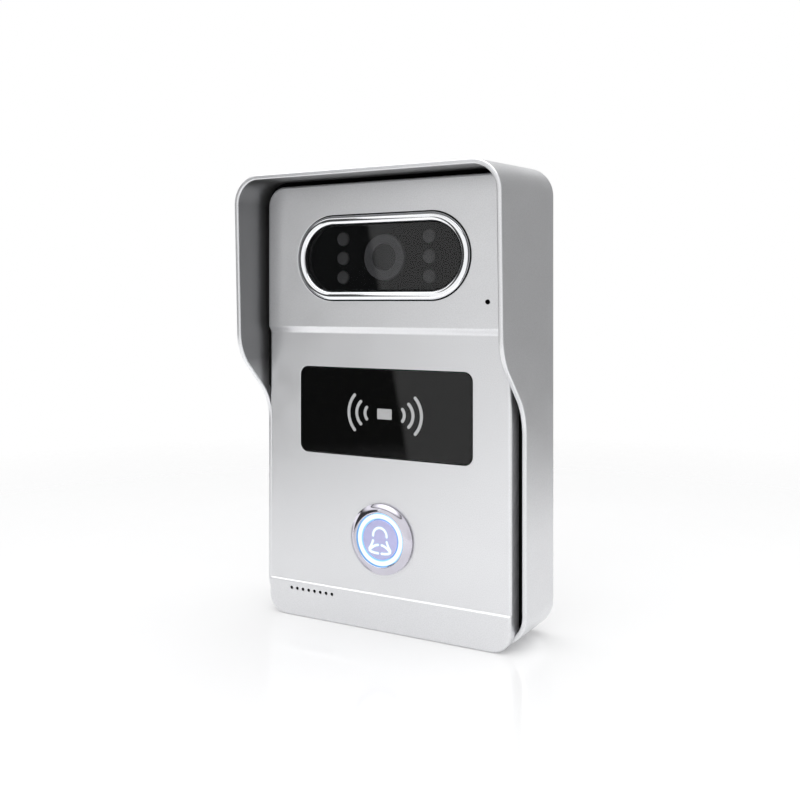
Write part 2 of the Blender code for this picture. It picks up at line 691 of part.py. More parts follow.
def make_housing():
    outer = rounded(HOUSING_WIDTH, HOUSING_HEIGHT, HOUSING_CORNER, (0, HOUSING_CENTRE))
    inner_width = HOUSING_WIDTH - 2 * HOUSING_WALL
    inner_height = HOUSING_HEIGHT - 2 * HOUSING_WALL
    inner = rounded(inner_width, inner_height, HOUSING_CORNER - HOUSING_WALL, (0, HOUSING_CENTRE))
    housing = slab("rear_housing", outer, HOUSING_BACK, HOUSING_RIM, "black_plastic", back_edge=MM)
    cut(housing, slab_cutter("housing_hollow", inner, HOUSING_FLOOR, HOUSING_RIM + BEYOND))

    def column(name, spot, radius, end):
        profile = disc(radius, end, HOUSING_FLOOR - OVERLAP)
        return turned(name, profile, (*spot, 0), "black_plastic", steps=14)

    column_end = POST_END - CLEARANCE
    board_end = BOARD_BACK - CLEARANCE
    camera_end = CAMERA_BOARD_BACK - CLEARANCE
    groups = (
        ("case_column", COLUMN_SPOTS, COLUMN_RADIUS, column_end),
        ("board_post", BOARD_SPOTS, BOARD_POST_RADIUS, board_end),
        ("camera_post", CAMERA_SPOTS, BOARD_POST_RADIUS, camera_end),
    )
    for name, spots, radius, end in groups:
        join(housing, *[column(f"{name}_{k}", spot, radius, end) for k, spot in enumerate(spots)])

    head_room = CASE_HEAD_RADIUS + CLEARANCE
    head_depth = column_end - 6 * MM
    case_hole = CASE_SCREW_RADIUS + CLEARANCE
    pilot = BOARD_SCREW_RADIUS + CLEARANCE
    cut(
        housing,
        rods("case_screw_wells", COLUMN_SPOTS, head_room, -BEYOND, head_depth, steps=14),
        rods("case_screw_holes", COLUMN_SPOTS, case_hole, 0, column_end + MM, steps=12),
        rods("board_pilots", BOARD_SPOTS, pilot, HOUSING_FLOOR + MM, board_end + MM, steps=12),
        rods("camera_pilots", CAMERA_SPOTS, pilot, camera_end - 4 * MM, camera_end + MM, steps=12),
        slab_cutter(
            "service_opening",
            rounded(*SERVICE_WINDOW, (0, SERVICE_RISE), 4),
            -BEYOND,
            HOUSING_FLOOR + MM,
        ),
        upright_rod(
            "housing_lock_hole",
            (0, HOUSING_BOTTOM, LOCK_SCREW_DEPTH),
            LOCK_SCREW_RADIUS + CLEARANCE,
            LOCK_SCREW_RADIUS + CLEARANCE,
            -MM,
            HOUSING_WALL + MM,
        ),
    )
    slot_top = HOOK_RISE + HOOK_SHEET + CLEARANCE
    slot_low = slot_top - HOOK_SHEET - HOOK_LIP - MM
    for name, side in (("slot_left", -1), ("slot_right", 1)):
        centre = (side * HOOK_SPREAD, (slot_top + slot_low) / 2)
        outline = rounded(HOOK_WIDTH + 1.2 * MM, slot_top - slot_low, 0.4 * MM, centre, 2)
        cut(housing, slab_cutter(name, outline, -BEYOND, HOUSING_FLOOR + MM))

    gasket_back = HOUSING_RIM + CLEARANCE
    gasket = slab("housing_gasket", outer, gasket_back, GASKET_FRONT, "rubber")
    cut(gasket, slab_cutter("gasket_opening", inner, gasket_back - MM, GASKET_FRONT + MM))


def screw(name, at, radius, head_radius, head_back, head_height, tip, steps=12):
    """A machine screw whose head is towards the wall and whose tip points forwards."""
    neck = head_back + head_height
    socket = head_back + 0.5 * head_height
    profile = [
        (0, tip),
        (radius - 0.3 * MM, tip),
        (radius, tip - 0.4 * MM),
        (radius, neck),
        (head_radius, neck),
        (head_radius, head_back),
        (0.5 * head_radius, head_back),
        (0.4 * head_radius, socket),
        (0, socket),
    ]
    return turned(name, profile, at, "steel", steps=steps)


def board_screw(name, spot, board_front, tip):
    """A screw whose head is on the front of a board and whose tip points to the wall."""
    seat = board_front + CLEARANCE
    crown = seat + BOARD_HEAD_HEIGHT
    profile = [
        (0, crown - 0.6 * MM),
        (0.4 * BOARD_HEAD_RADIUS, crown - 0.6 * MM),
        (0.5 * BOARD_HEAD_RADIUS, crown),
        (0.8 * BOARD_HEAD_RADIUS, crown),
        (BOARD_HEAD_RADIUS, seat),
        (BOARD_SCREW_RADIUS, seat),
        (BOARD_SCREW_RADIUS, tip),
        (0, tip),
    ]
    return turned(name, profile, (*spot, 0), "steel", steps=12)


def make_fasteners():
    head_back = POST_END - CLEARANCE - 6 * MM - CLEARANCE - CASE_HEAD_HEIGHT
    for k, spot in enumerate(COLUMN_SPOTS):
        name = f"housing_screw_{k + 1}"
        tip = POCKET - 1 * MM
        screw(name, (*spot, 0), CASE_SCREW_RADIUS, CASE_HEAD_RADIUS, head_back, CASE_HEAD_HEIGHT, tip)
    for k, spot in enumerate(BOARD_SPOTS):
        board_screw(f"board_screw_{k + 1}", spot, BOARD_FRONT, HOUSING_FLOOR + 1.5 * MM)
    for k, spot in enumerate(CAMERA_SPOTS):
        board_screw(f"camera_screw_{k + 1}", spot, CAMERA_BOARD_FRONT, CAMERA_BOARD_BACK - 3.5 * MM)
    flush = 0.1 * MM
    socket = 0.8 * MM
    profile = [
        (0, LOCK_SCREW_LENGTH),
        (LOCK_SCREW_RADIUS - 0.4 * MM, LOCK_SCREW_LENGTH),
        (LOCK_SCREW_RADIUS, LOCK_SCREW_LENGTH - 0.6 * MM),
        (LOCK_SCREW_RADIUS, HOOD_WALL),
        (LOCK_HEAD_RADIUS, flush),
        (0.4 * LOCK_HEAD_RADIUS, flush),
        (0.3 * LOCK_HEAD_RADIUS, socket),
        (0, socket),
    ]
    turned("lock_screw", profile, (0, HOOD_BOTTOM, LOCK_SCREW_DEPTH), "steel", steps=20, upright=True)


# ---------------------------------------------------------------- camera


def make_bezel():
    centre = (0, CAMERA_Y)
    flange_front = POCKET - CLEARANCE
    flange_back = flange_front - BEZEL_FLANGE_THICKNESS
    front = BROW_FACE + BEZEL_PROUD
    ring = slab(
        "camera_bezel",
        stadium(CAMERA_SPAN, BEZEL_RADIUS, centre),
        flange_back,
        front,
        "chrome",
        edge=BEZEL_EDGE,
    )
    flange = slab(
        "bezel_flange",
        stadium(CAMERA_SPAN, BEZEL_RADIUS + BEZEL_FLANGE, centre),
        flange_back,
        flange_front,
        "chrome",
    )
    join(ring, flange)
    pocket = stadium(CAMERA_SPAN, GLASS_POCKET, centre)
    ledge = stadium(CAMERA_SPAN, GLASS_POCKET - BEZEL_LEDGE, centre)
    cut(
        ring,
        slab_cutter("window_pocket", pocket, LEDGE_FRONT, front + MM),
        slab_cutter("bezel_opening", ledge, flange_back - MM, front + MM),
        slab_cutter("mask_pocket", pocket, flange_back - MM, LEDGE_BACK),
    )
    window = stadium(CAMERA_SPAN, GLASS_POCKET - CLEARANCE, centre)
    slab("camera_window", window, WINDOW_BACK, WINDOW_FRONT, "black_glass")
    mask = slab("led_mask", window, MASK_BACK, MASK_FRONT, "black_plastic")
    lens_hole = rods(
        "mask_lens_hole", [centre], LENS_RING_RADIUS + 2 * CLEARANCE, 0, MASK_FRONT + MM, steps=32
    )
    led_holes = rods(
        "mask_led_holes", led_spots(), LED_RADIUS + CLEARANCE, 0, MASK_FRONT + MM, steps=14
    )
    cut(mask, lens_hole, led_holes)


def led_spots():
    return [
        (side * LED_SPREAD, CAMERA_Y + row * LED_PITCH)
        for side in (-1, 1)
        for row in (1, 0, -1)
    ]


def make_leds():
    shoulder = LENS_FRONT - LED_DOME
    flange = LED_RADIUS + LED_FLANGE
    dome_steps = 4
    dome = [
        (LED_RADIUS * math.sin(a), shoulder + LED_DOME * math.cos(a))
        for a in [math.pi / 2 * k / dome_steps for k in range(dome_steps + 1)]
    ]
    foot = [(LED_RADIUS, LED_BACK + MM), (flange, LED_BACK + MM), (flange, LED_BACK), (0, LED_BACK)]
    for k, (x, y) in enumerate(led_spots()):
        turned(f"ir_led_{k + 1}", dome + foot, (x, y, 0), "led_resin", steps=14)
    width, height, corner = LED_BOARD
    front = LED_BACK - CLEARANCE
    outline = rounded(width, height, corner, (0, CAMERA_Y), 4)
    board = slab("ir_led_board", outline, LED_BOARD_BACK, front, "board_green")
    barrel_room = LENS_BARREL_RADIUS + 2 * CLEARANCE
    cut(board, rods("led_board_hole", [(0, CAMERA_Y)], barrel_room, 0, front + MM, steps=32))


def make_camera():
    at = (0, CAMERA_Y, 0)
    ring_back = LENS_FRONT - 4.2 * MM
    barrel_back = HOLDER_FRONT - 2 * MM
    bore = LENS_RADIUS + CLEARANCE
    profile = [
        (LENS_RADIUS, LENS_FRONT - 0.3 * MM),
        (LENS_RADIUS + 0.2 * MM, LENS_FRONT),
        (LENS_RING_RADIUS - 0.3 * MM, LENS_FRONT),
        (LENS_RING_RADIUS, LENS_FRONT - 0.3 * MM),
        (LENS_RING_RADIUS, ring_back),
        (LENS_BARREL_RADIUS, ring_back - 0.6 * MM),
        (LENS_BARREL_RADIUS, barrel_back),
        (bore, barrel_back),
        (bore, LENS_FRONT - 1.4 * MM),
    ]
    turned("lens_barrel", profile, at, "lens_ring", ring=True, steps=28)
    crown = LENS_FRONT - 0.4 * MM
    glass_radius = LENS_RADIUS - 0.2 * MM
    sag = 0.5 * MM
    glass_steps = 6
    dome = [
        (glass_radius * k / glass_steps, crown - sag * (k / glass_steps) ** 2)
        for k in range(glass_steps + 1)
    ]
    glass_back = crown - sag - 1.2 * MM
    turned("lens_glass", [*dome, (glass_radius, glass_back), (0, glass_back)], at, "lens_glass")

    holder_back = CAMERA_BOARD_FRONT + CLEARANCE
    outline = rounded(HOLDER_SIDE, HOLDER_SIDE, MM, (0, CAMERA_Y), 3)
    holder = slab("lens_holder", outline, holder_back, HOLDER_FRONT, "black_plastic")
    bore_cutter = rods(
        "holder_bore", [(0, CAMERA_Y)], LENS_BARREL_RADIUS + CLEARANCE, 0, HOLDER_FRONT + MM, steps=32
    )
    cut(holder, bore_cutter)
    sensor = rounded(SENSOR_SIDE, SENSOR_SIDE, 0.3 * MM, (0, CAMERA_Y), 2)
    slab("image_sensor", sensor, holder_back, holder_back + 0.9 * MM, "black_plastic")
    width, height, corner = CAMERA_BOARD
    board_outline = rounded(width, height, corner, (0, CAMERA_Y), 3)
    board = slab("camera_board", board_outline, CAMERA_BOARD_BACK, CAMERA_BOARD_FRONT, "board_green")
    hole_radius = BOARD_SCREW_RADIUS + 2 * CLEARANCE
    cut(board, rods("camera_board_holes", CAMERA_SPOTS, hole_radius, 0, CAMERA_BOARD_FRONT + MM, steps=12))


# ---------------------------------------------------------------- card reader


def make_reader():
    width, height, corner = READER_SIZE
    centre = (0, READER_Y)
    slab("reader_window", rounded(width, height, corner, centre, 6), READER_BACK, PANEL_FACE, "black_glass")
    coil_front = POCKET - 2 * CLEARANCE
    coil_back = coil_front - COIL_THICKNESS
    coil_width = width - 2 * COIL_MARGIN
    coil_height = height - 2 * COIL_MARGIN
    coil = slab(
        "antenna_coil", rounded(coil_width, coil_height, 3 * MM, centre, 4), coil_back, coil_front, "copper"
    )
    inside = rounded(coil_width - 2 * COIL_WIDTH, coil_height - 2 * COIL_WIDTH, MM, centre, 4)
    cut(coil, slab_cutter("coil_opening", inside, coil_back - MM, coil_front + MM))
    board_front = coil_back - CLEARANCE
    board = rounded(width - 2 * READER_BOARD_MARGIN, height - 2 * READER_BOARD_MARGIN, 2 * MM, centre, 3)
    slab("reader_board", board, board_front - BOARD_THICKNESS, board_front, "board_green")


# ---------------------------------------------------------------- call button


def make_button_body():
    at = (0, BUTTON_Y, 0)
    seat = PANEL_FACE + CLEARANCE
    mouth = RING_OUTER + CLEARANCE / 2
    ledge = RING_BACK - CLEARANCE
    profile = [
        (mouth, CREST - 0.3 * MM),
        (BUTTON_CREST + 0.1 * MM, CREST),
        (BUTTON_CREST + 0.5 * MM, CREST),
        (BUTTON_FLANGE - 0.5 * MM, seat + 0.8 * MM),
        (BUTTON_FLANGE, seat + 0.3 * MM),
        (BUTTON_FLANGE, seat),
        (BARREL_RADIUS, seat),
        (BARREL_RADIUS, BARREL_BACK),
        (BARREL_BORE, BARREL_BACK),
        (BARREL_BORE, ledge),
        (mouth, ledge),
    ]
    turned("button_bezel", profile, at, "chrome", ring=True, steps=40)
    light = [
        (RING_INNER, RING_FRONT),
        (RING_OUTER - CLEARANCE / 2, RING_FRONT),
        (RING_OUTER - CLEARANCE / 2, RING_BACK),
        (RING_INNER, RING_BACK),
    ]
    turned("button_light_ring", light, at, "light_guide", ring=True, steps=40)
    guide = [
        (PLUNGER_RADIUS + CLEARANCE, GUIDE_FRONT),
        (BARREL_BORE - CLEARANCE, GUIDE_FRONT),
        (BARREL_BORE - CLEARANCE, GUIDE_FRONT - GUIDE_LENGTH),
        (PLUNGER_RADIUS + CLEARANCE, GUIDE_FRONT - GUIDE_LENGTH),
    ]
    turned("button_guide", guide, at, "white_plastic", ring=True)

    seal_front = POCKET - CLEARANCE
    seal_back = seal_front - 0.6 * MM
    bore = BARREL_RADIUS + CLEARANCE
    rim = bore + SEAL_WIDTH
    seal = [(bore, seal_front), (rim, seal_front), (rim, seal_back), (bore, seal_back)]
    turned("button_seal", seal, at, "rubber", ring=True)
    nut_front = seal_back - CLEARANCE
    outline = polygon(6, NUT_ACROSS, (0, BUTTON_Y))
    nut = slab("button_nut", outline, nut_front - NUT_THICKNESS, nut_front, "steel")
    cut(nut, rods("nut_bore", [(0, BUTTON_Y)], bore, 0, nut_front + MM, steps=40))

    stem_room = PLUNGER_STEM + CLEARANCE
    well = PLUNGER_BACK - BUTTON_TRAVEL - MM
    switch = [
        (stem_room, SWITCH_FRONT),
        (SWITCH_RADIUS, SWITCH_FRONT),
        (SWITCH_RADIUS, SWITCH_BACK),
        (0, SWITCH_BACK),
    ]
    turned("button_switch", [(0, well), (stem_room, well), *switch], at, "black_plastic")
    pin_front = SWITCH_BACK - CLEARANCE
    pin_back = BOARD_FRONT + CLEARANCE
    for k, side in enumerate((-1, 1)):
        pin = disc(SWITCH_PIN_RADIUS, pin_front, pin_back)
        turned(f"switch_pin_{k + 1}", pin, (side * SWITCH_PIN_SPREAD, BUTTON_Y, 0), "copper", steps=12)


def make_button_moving():
    """The cap and plunger, each with its origin on the axis that it travels along."""
    cap_radius = RING_INNER - CLEARANCE
    cap = [
        (0, 0),
        (cap_radius - 0.3 * MM, 0),
        (cap_radius, -0.3 * MM),
        (cap_radius, -CAP_THICKNESS),
        (0, -CAP_THICKNESS),
    ]
    turned("button_cap", cap, (0, BUTTON_Y, CAP_FRONT), "button_metal", steps=40)
    flange_front = FLANGE_FRONT - PLUNGER_FRONT
    flange_back = FLANGE_BACK - PLUNGER_FRONT
    plunger = [
        (0, 0),
        (PLUNGER_RADIUS, 0),
        (PLUNGER_RADIUS, flange_front),
        (PLUNGER_FLANGE, flange_front),
        (PLUNGER_FLANGE, flange_back),
        (PLUNGER_STEM, flange_back),
        (PLUNGER_STEM, -PLUNGER_LENGTH),
        (0, -PLUNGER_LENGTH),
    ]
    turned("button_plunger", plunger, (0, BUTTON_Y, PLUNGER_FRONT), "white_plastic")


def make_spring():
    """A coil around the plunger's stem, from the switch to the plunger's flange."""
    low = SWITCH_FRONT + CLEARANCE + SPRING_WIRE
    high = FLANGE_BACK - CLEARANCE - SPRING_WIRE
    points_per_turn = 12
    count = SPRING_TURNS * points_per_turn + 1
    curve = bpy.data.curves.new("button_spring", "CURVE")
    curve.dimensions = "3D"
    curve.bevel_depth = SPRING_WIRE
    curve.bevel_resolution = 1
    curve.use_fill_caps = True
    spline = curve.splines.new("POLY")
    spline.points.add(count - 1)
    for k, point in enumerate(spline.points):
        angle = 2 * math.pi * k / points_per_turn
        rise = (high - low) * k / (count - 1)
        point.co = (SPRING_RADIUS * math.cos(angle), SPRING_RADIUS * math.sin(angle), rise, 1)
    holder = bpy.data.objects.new("button_spring_line", curve)
    PARTS.objects.link(holder)
    mesh = evaluated_mesh(holder)
    solid = bmesh.new()
    solid.from_mesh(mesh)
    bmesh.ops.remove_doubles(solid, verts=solid.verts, dist=1e-6)
    bmesh.ops.recalc_face_normals(solid, faces=solid.faces)
    solid.to_mesh(mesh)
    solid.free()
    place("button_spring", mesh, "steel", (0, BUTTON_Y, low))


# ---------------------------------------------------------------- sound


def make_sound():
    at = (SPEAKER_X, SPEAKER_Y, 0)
    gasket_front = POCKET - CLEARANCE
    gasket_back = gasket_front - 0.7 * MM
    hole = SPEAKER_RADIUS - 2 * MM
    gasket = [
        (hole, gasket_front),
        (SPEAKER_RADIUS, gasket_front),
        (SPEAKER_RADIUS, gasket_back),
        (hole, gasket_back),
    ]
    turned("speaker_gasket", gasket, at, "rubber", ring=True)
    rim = gasket_back - CLEARANCE
    wall = 0.6 * MM
    throat = 8 * MM
    floor = rim - 4.5 * MM
    basket = [
        (SPEAKER_RADIUS - 1.1 * MM, rim),
        (SPEAKER_RADIUS, rim),
        (SPEAKER_RADIUS, rim - MM),
        (throat, floor),
        (3.6 * MM, floor),
        (3.6 * MM, floor + wall),
        (throat - 0.3 * MM, floor + wall),
        (SPEAKER_RADIUS - 1.1 * MM, rim - 0.9 * MM),
    ]
    turned("speaker_frame", basket, at, "steel", ring=True)
    edge = SPEAKER_RADIUS - 1.6 * MM
    cone = [
        (0, rim - 1.6 * MM),
        (3 * MM, rim - 2 * MM),
        (edge - 0.4 * MM, rim - 0.4 * MM),
        (edge, rim - 0.4 * MM),
        (edge, rim - 0.8 * MM),
        (3 * MM, rim - 2.6 * MM),
        (0, rim - 2.6 * MM),
    ]
    turned("speaker_cone", cone, at, "paper_cone")
    magnet_front = floor - CLEARANCE
    magnet_back = magnet_front - MAGNET_THICKNESS
    turned("speaker_magnet", disc(MAGNET_RADIUS, magnet_front, magnet_back), at, "steel")

    mic_at = (MIC_X, MIC_Y, 0)
    boot_front = POCKET - CLEARANCE
    boot_bore = MIC_RADIUS + CLEARANCE
    boot_outer = boot_bore + BOOT_WALL
    boot_back = boot_front - 0.6 * MM - MIC_LENGTH
    boot = [
        (MIC_HOLE_RADIUS, boot_front),
        (boot_outer, boot_front),
        (boot_outer, boot_back),
        (boot_bore, boot_back),
        (boot_bore, boot_front - 0.6 * MM),
        (MIC_HOLE_RADIUS, boot_front - 0.6 * MM),
    ]
    turned("mic_boot", boot, mic_at, "rubber", ring=True, steps=20)
    mic_front = boot_front - 0.6 * MM - CLEARANCE
    mic_back = mic_front - MIC_LENGTH
    turned("microphone", disc(MIC_RADIUS, mic_front, mic_back), mic_at, "steel", steps=20)


# ---------------------------------------------------------------- electronics


def make_main_board():
    outline = rounded(MAIN_BOARD_WIDTH, MAIN_BOARD_HEIGHT, 2 * MM, (0, MAIN_BOARD_Y), 3)
    board = slab("main_board", outline, BOARD_BACK, BOARD_FRONT, "board_green")
    hole = BOARD_SCREW_RADIUS + 2 * CLEARANCE
    cut(board, rods("main_board_holes", BOARD_SPOTS, hole, 0, BOARD_FRONT + MM, steps=12))
    front = BOARD_FRONT + CLEARANCE
    back = BOARD_BACK - CLEARANCE
    terminal = rounded(28 * MM, 8 * MM, 0.5 * MM, (0, SERVICE_RISE - 14 * MM), 2)
    block = slab("terminal_block", terminal, HOUSING_BACK - 1.4 * MM, back, "blue_plastic")
    pitch = 5 * MM
    wells = [(pitch * (k - 2), SERVICE_RISE - 14 * MM) for k in range(5)]
    cut(block, rods("terminal_wells", wells, 1.6 * MM, -BEYOND, HOUSING_BACK + MM, steps=12))

    clear_of_button = BUTTON_Y + 20 * MM
    crown = front + 10 * MM
    can = [(0, crown), (3.6 * MM, crown), (4 * MM, crown - 0.4 * MM), (4 * MM, front), (0, front)]
    turned("capacitor", can, (22 * MM, clear_of_button, 0), "blue_plastic")
    relay = rounded(16 * MM, 12 * MM, 0.6 * MM, (-20 * MM, clear_of_button + 2 * MM), 2)
    slab("relay", relay, front, front + 9.5 * MM, "black_plastic", edge=0.4 * MM)
    chip = rounded(14 * MM, 14 * MM, 0.3 * MM, (8 * MM, READER_Y), 2)
    slab("processor", chip, front, front + 1.4 * MM, "black_plastic")
    header = rounded(16 * MM, 6 * MM, 0.4 * MM, (-12 * MM, READER_Y + 22 * MM), 2)
    slab("cable_header", header, front, front + 7 * MM, "white_plastic")


make_hood()
make_grommet()
make_hooks()
make_panel()
make_housing()
make_fasteners()
make_bezel()
make_leds()
make_camera()
make_reader()
make_button_body()
make_button_moving()
make_spring()
make_sound()
make_main_board()
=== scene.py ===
"""Looks of an outdoor video door station in its rain hood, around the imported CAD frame.

Sizes are in millimetres. A place is (across, depth, up), where the depth is measured forwards
from the wall, and Solid.build turns it into metres with +Z up and -Y to the front. An outline is
a list of (across, up) points that runs anticlockwise, and a profile is a list of (inset, depth).
"""

import json
import math

import bmesh
import bpy
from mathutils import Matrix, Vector
from mathutils.geometry import delaunay_2d_cdt


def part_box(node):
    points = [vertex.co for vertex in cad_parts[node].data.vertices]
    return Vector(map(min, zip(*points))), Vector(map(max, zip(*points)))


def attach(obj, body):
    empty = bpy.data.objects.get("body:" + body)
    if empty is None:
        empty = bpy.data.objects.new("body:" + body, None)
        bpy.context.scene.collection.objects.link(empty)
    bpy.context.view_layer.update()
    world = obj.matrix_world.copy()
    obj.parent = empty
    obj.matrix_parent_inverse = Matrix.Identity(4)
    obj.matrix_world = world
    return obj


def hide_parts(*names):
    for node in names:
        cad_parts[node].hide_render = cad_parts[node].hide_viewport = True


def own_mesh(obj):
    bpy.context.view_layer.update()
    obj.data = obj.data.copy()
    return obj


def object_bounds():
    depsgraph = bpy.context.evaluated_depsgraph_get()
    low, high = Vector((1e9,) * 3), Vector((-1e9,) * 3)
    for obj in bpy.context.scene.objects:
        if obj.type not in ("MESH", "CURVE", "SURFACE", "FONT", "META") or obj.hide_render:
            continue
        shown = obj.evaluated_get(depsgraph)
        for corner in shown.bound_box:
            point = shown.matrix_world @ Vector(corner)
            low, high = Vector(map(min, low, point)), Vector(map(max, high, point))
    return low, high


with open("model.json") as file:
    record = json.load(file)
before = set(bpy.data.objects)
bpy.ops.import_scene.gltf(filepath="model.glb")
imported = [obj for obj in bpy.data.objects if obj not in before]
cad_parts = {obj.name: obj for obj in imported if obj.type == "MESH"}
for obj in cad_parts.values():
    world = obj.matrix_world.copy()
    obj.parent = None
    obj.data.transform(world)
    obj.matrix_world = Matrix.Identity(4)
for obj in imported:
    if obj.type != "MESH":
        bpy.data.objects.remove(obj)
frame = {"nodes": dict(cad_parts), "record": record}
CAD_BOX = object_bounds()


def size_of(node):
    """The CAD node's box in millimetres: centre across, centre up, width, height, back, front."""
    low, high = (corner * 1000 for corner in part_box(node))
    middle = (low + high) / 2
    return middle.x, middle.z, high.x - low.x, high.z - low.z, -high.y, -low.y


# ---------------------------------------------------------------- sizes

_, _, HOOD_WIDTH, HOOD_HEIGHT, _, HOOD_FRONT = size_of("rain_hood")
HOOD_TOP = HOOD_HEIGHT / 2
HOOD_BOTTOM = -HOOD_TOP
HOOD_WALL = 1.7
HOOD_CORNER = 10.5
VISOR_SLOPE = math.tan(math.radians(2.45))
SLOPE_START = 60.0  # the hood's top is drawn down towards the front, above this height
VISOR_LEAN = 1.7  # how much further the visor reaches at its top
RIM_LOW = 25.8
RIM_BEND = 18.0
RIM_ANGLE = math.radians(45)
RIM_OUTER_EDGE = 0.5
RIM_INNER_EDGE = 0.5
HOOD_BACK_EDGE = 1.0
SHADE_DEPTH = 27.6  # the hood's inside is black behind this depth, as painted shade in the deep gap beside the panel
WALL_SCREW_INSET = 22.0
WALL_SCREWS = [
    (sx * (HOOD_WIDTH / 2 - WALL_SCREW_INSET), sz * (HOOD_TOP - WALL_SCREW_INSET))
    for sx in (-1, 1)
    for sz in (-1, 1)
]
WALL_SCREW_RADIUS = 2.25
CABLE_HOLE = (0, 22)
CABLE_HOLE_RADIUS = 10.0

_, PANEL_CENTRE, PANEL_WIDTH, PANEL_HEIGHT, PANEL_BACK, BROW_FACE = size_of("front_panel")
PANEL_BOTTOM = PANEL_CENTRE - PANEL_HEIGHT / 2
RIM_START = PANEL_BOTTOM + 73.2
PANEL_CORNER = 7.3
PANEL_EDGE = 1.0
PANEL_SIDE_WALL = 2.2
BROW_RISE = 1.44
BROW_RAMP = (PANEL_BOTTOM + 106.7, PANEL_BOTTOM + 109.5)
BAND_RISE = 0.55
BAND_RAMP = (PANEL_BOTTOM + 12.7, PANEL_BOTTOM + 13.6)
PANEL_FACE = BROW_FACE - BROW_RISE
POCKET = PANEL_FACE - 2.4
HOLE_EDGE = 0.3
SOUND_HOLES = [(-39.6 + 2.6 * k, PANEL_BOTTOM + 10.4) for k in range(8)]
SOUND_HOLE_RADIUS = 0.6
MIC_HOLE = (42.06, PANEL_BOTTOM + 118.4)
MIC_HOLE_RADIUS = 0.85
CLEARANCE = 0.3

_, CAMERA_UP, _bezel_width, _bezel_height, BEZEL_BACK, BEZEL_FRONT = size_of("camera_bezel")
CAMERA_SPAN = _bezel_width - _bezel_height
BEZEL_FLANGE = 2.0
BEZEL_RADIUS = _bezel_height / 2 - BEZEL_FLANGE
BEZEL_RING = 3.2
CAMERA_OPENING = BEZEL_RADIUS + 0.4
FLANGE_FRONT = POCKET - 0.3
_, _, _, _glass_height, WINDOW_BACK, WINDOW_FRONT = size_of("camera_window")
WINDOW_RADIUS = _glass_height / 2
_, _, LENS_RING, _, _, LENS_FRONT = size_of("lens_barrel")
LENS_RING /= 2
LENS_RADIUS = 4.9
LENS_SAG = 0.5
LED_RADIUS = 2.5
LED_DOME = 1.0

_, READER_UP, READER_WIDTH, READER_HEIGHT, READER_BACK, READER_FRONT = size_of("reader_window")
READER_CORNER = 3.0

_, BUTTON_UP, _button_across, _, BARREL_BACK, CREST = size_of("button_bezel")
BUTTON_FLANGE = _button_across / 2
BARREL_RADIUS = 10.8
_, _, _ring_across, _, RING_BACK, RING_FRONT = size_of("button_light_ring")
RING_OUTER = _ring_across / 2
RING_INNER = 7.5
_, _, _cap_across, _, CAP_BACK, CAP_FRONT = size_of("button_cap")
CAP_RADIUS = _cap_across / 2
SPRING_WIRE = 0.3
SPRING_TURNS = 4

# The view that the object is shown from, in metres.
VIEW_TURN = math.radians(29.73)
VIEW_PLACE = (0.1815, -0.3347, 0.0345)
VIEW_LENS = 44.485
VIEW_SHIFT = -0.1234


# ---------------------------------------------------------------- outlines


def rounded(width, height, corner, centre=(0, 0), inset=0.0, steps=10, levels=()):
    """A rectangle with round corners. Each of the levels is a height with a point on both sides."""
    half_width, half_height = width / 2 - inset, height / 2 - inset
    radius = max(corner - inset, 0.0)
    points = []
    for quarter, (sx, sy) in enumerate([(1, 1), (-1, 1), (-1, -1), (1, -1)]):
        across = centre[0] + sx * (half_width - radius)
        up = centre[1] + sy * (half_height - radius)
        if quarter == 2:
            points += [(centre[0] - half_width, level) for level in reversed(levels)]
        for step in range(steps + 1):
            angle = math.pi / 2 * (quarter + step / steps)
            points.append((across + radius * math.cos(angle), up + radius * math.sin(angle)))
    points += [(centre[0] + half_width, level) for level in levels]
    return points


def stadium(span, radius, centre, inset=0.0, steps=20):
    points = []
    for side in (1, -1):
        for step in range(2 * steps + 1):
            angle = math.pi / (2 * steps) * step - side * math.pi / 2
            across = centre[0] + side * span / 2 + (radius - inset) * math.cos(angle)
            points.append((across, centre[1] + (radius - inset) * math.sin(angle)))
    return points


def circle(radius, centre, inset=0.0, steps=32):
    turns = [2 * math.pi * step / steps for step in range(steps)]
    radius -= inset
    return [(centre[0] + radius * math.cos(a), centre[1] + radius * math.sin(a)) for a in turns]


def inside(point, outline):
    found = False
    for (x0, y0), (x1, y1) in zip(outline, outline[1:] + outline[:1]):
        if (y0 > point[1]) != (y1 > point[1]):
            found ^= point[0] < x0 + (point[1] - y0) / (y1 - y0) * (x1 - x0)
    return found


def edge_profile(inset, depth, radius, to_front=True, steps=4):
    """(inset, depth) points that round an outer edge, from the side to the face."""
    sign = 1 if to_front else -1
    turns = [math.pi / 2 * step / steps for step in range(steps + 1)]
    return [
        (inset + radius * (1 - math.cos(a)), depth - sign * radius * (1 - math.sin(a)))
        for a in turns
    ]


# ---------------------------------------------------------------- solids


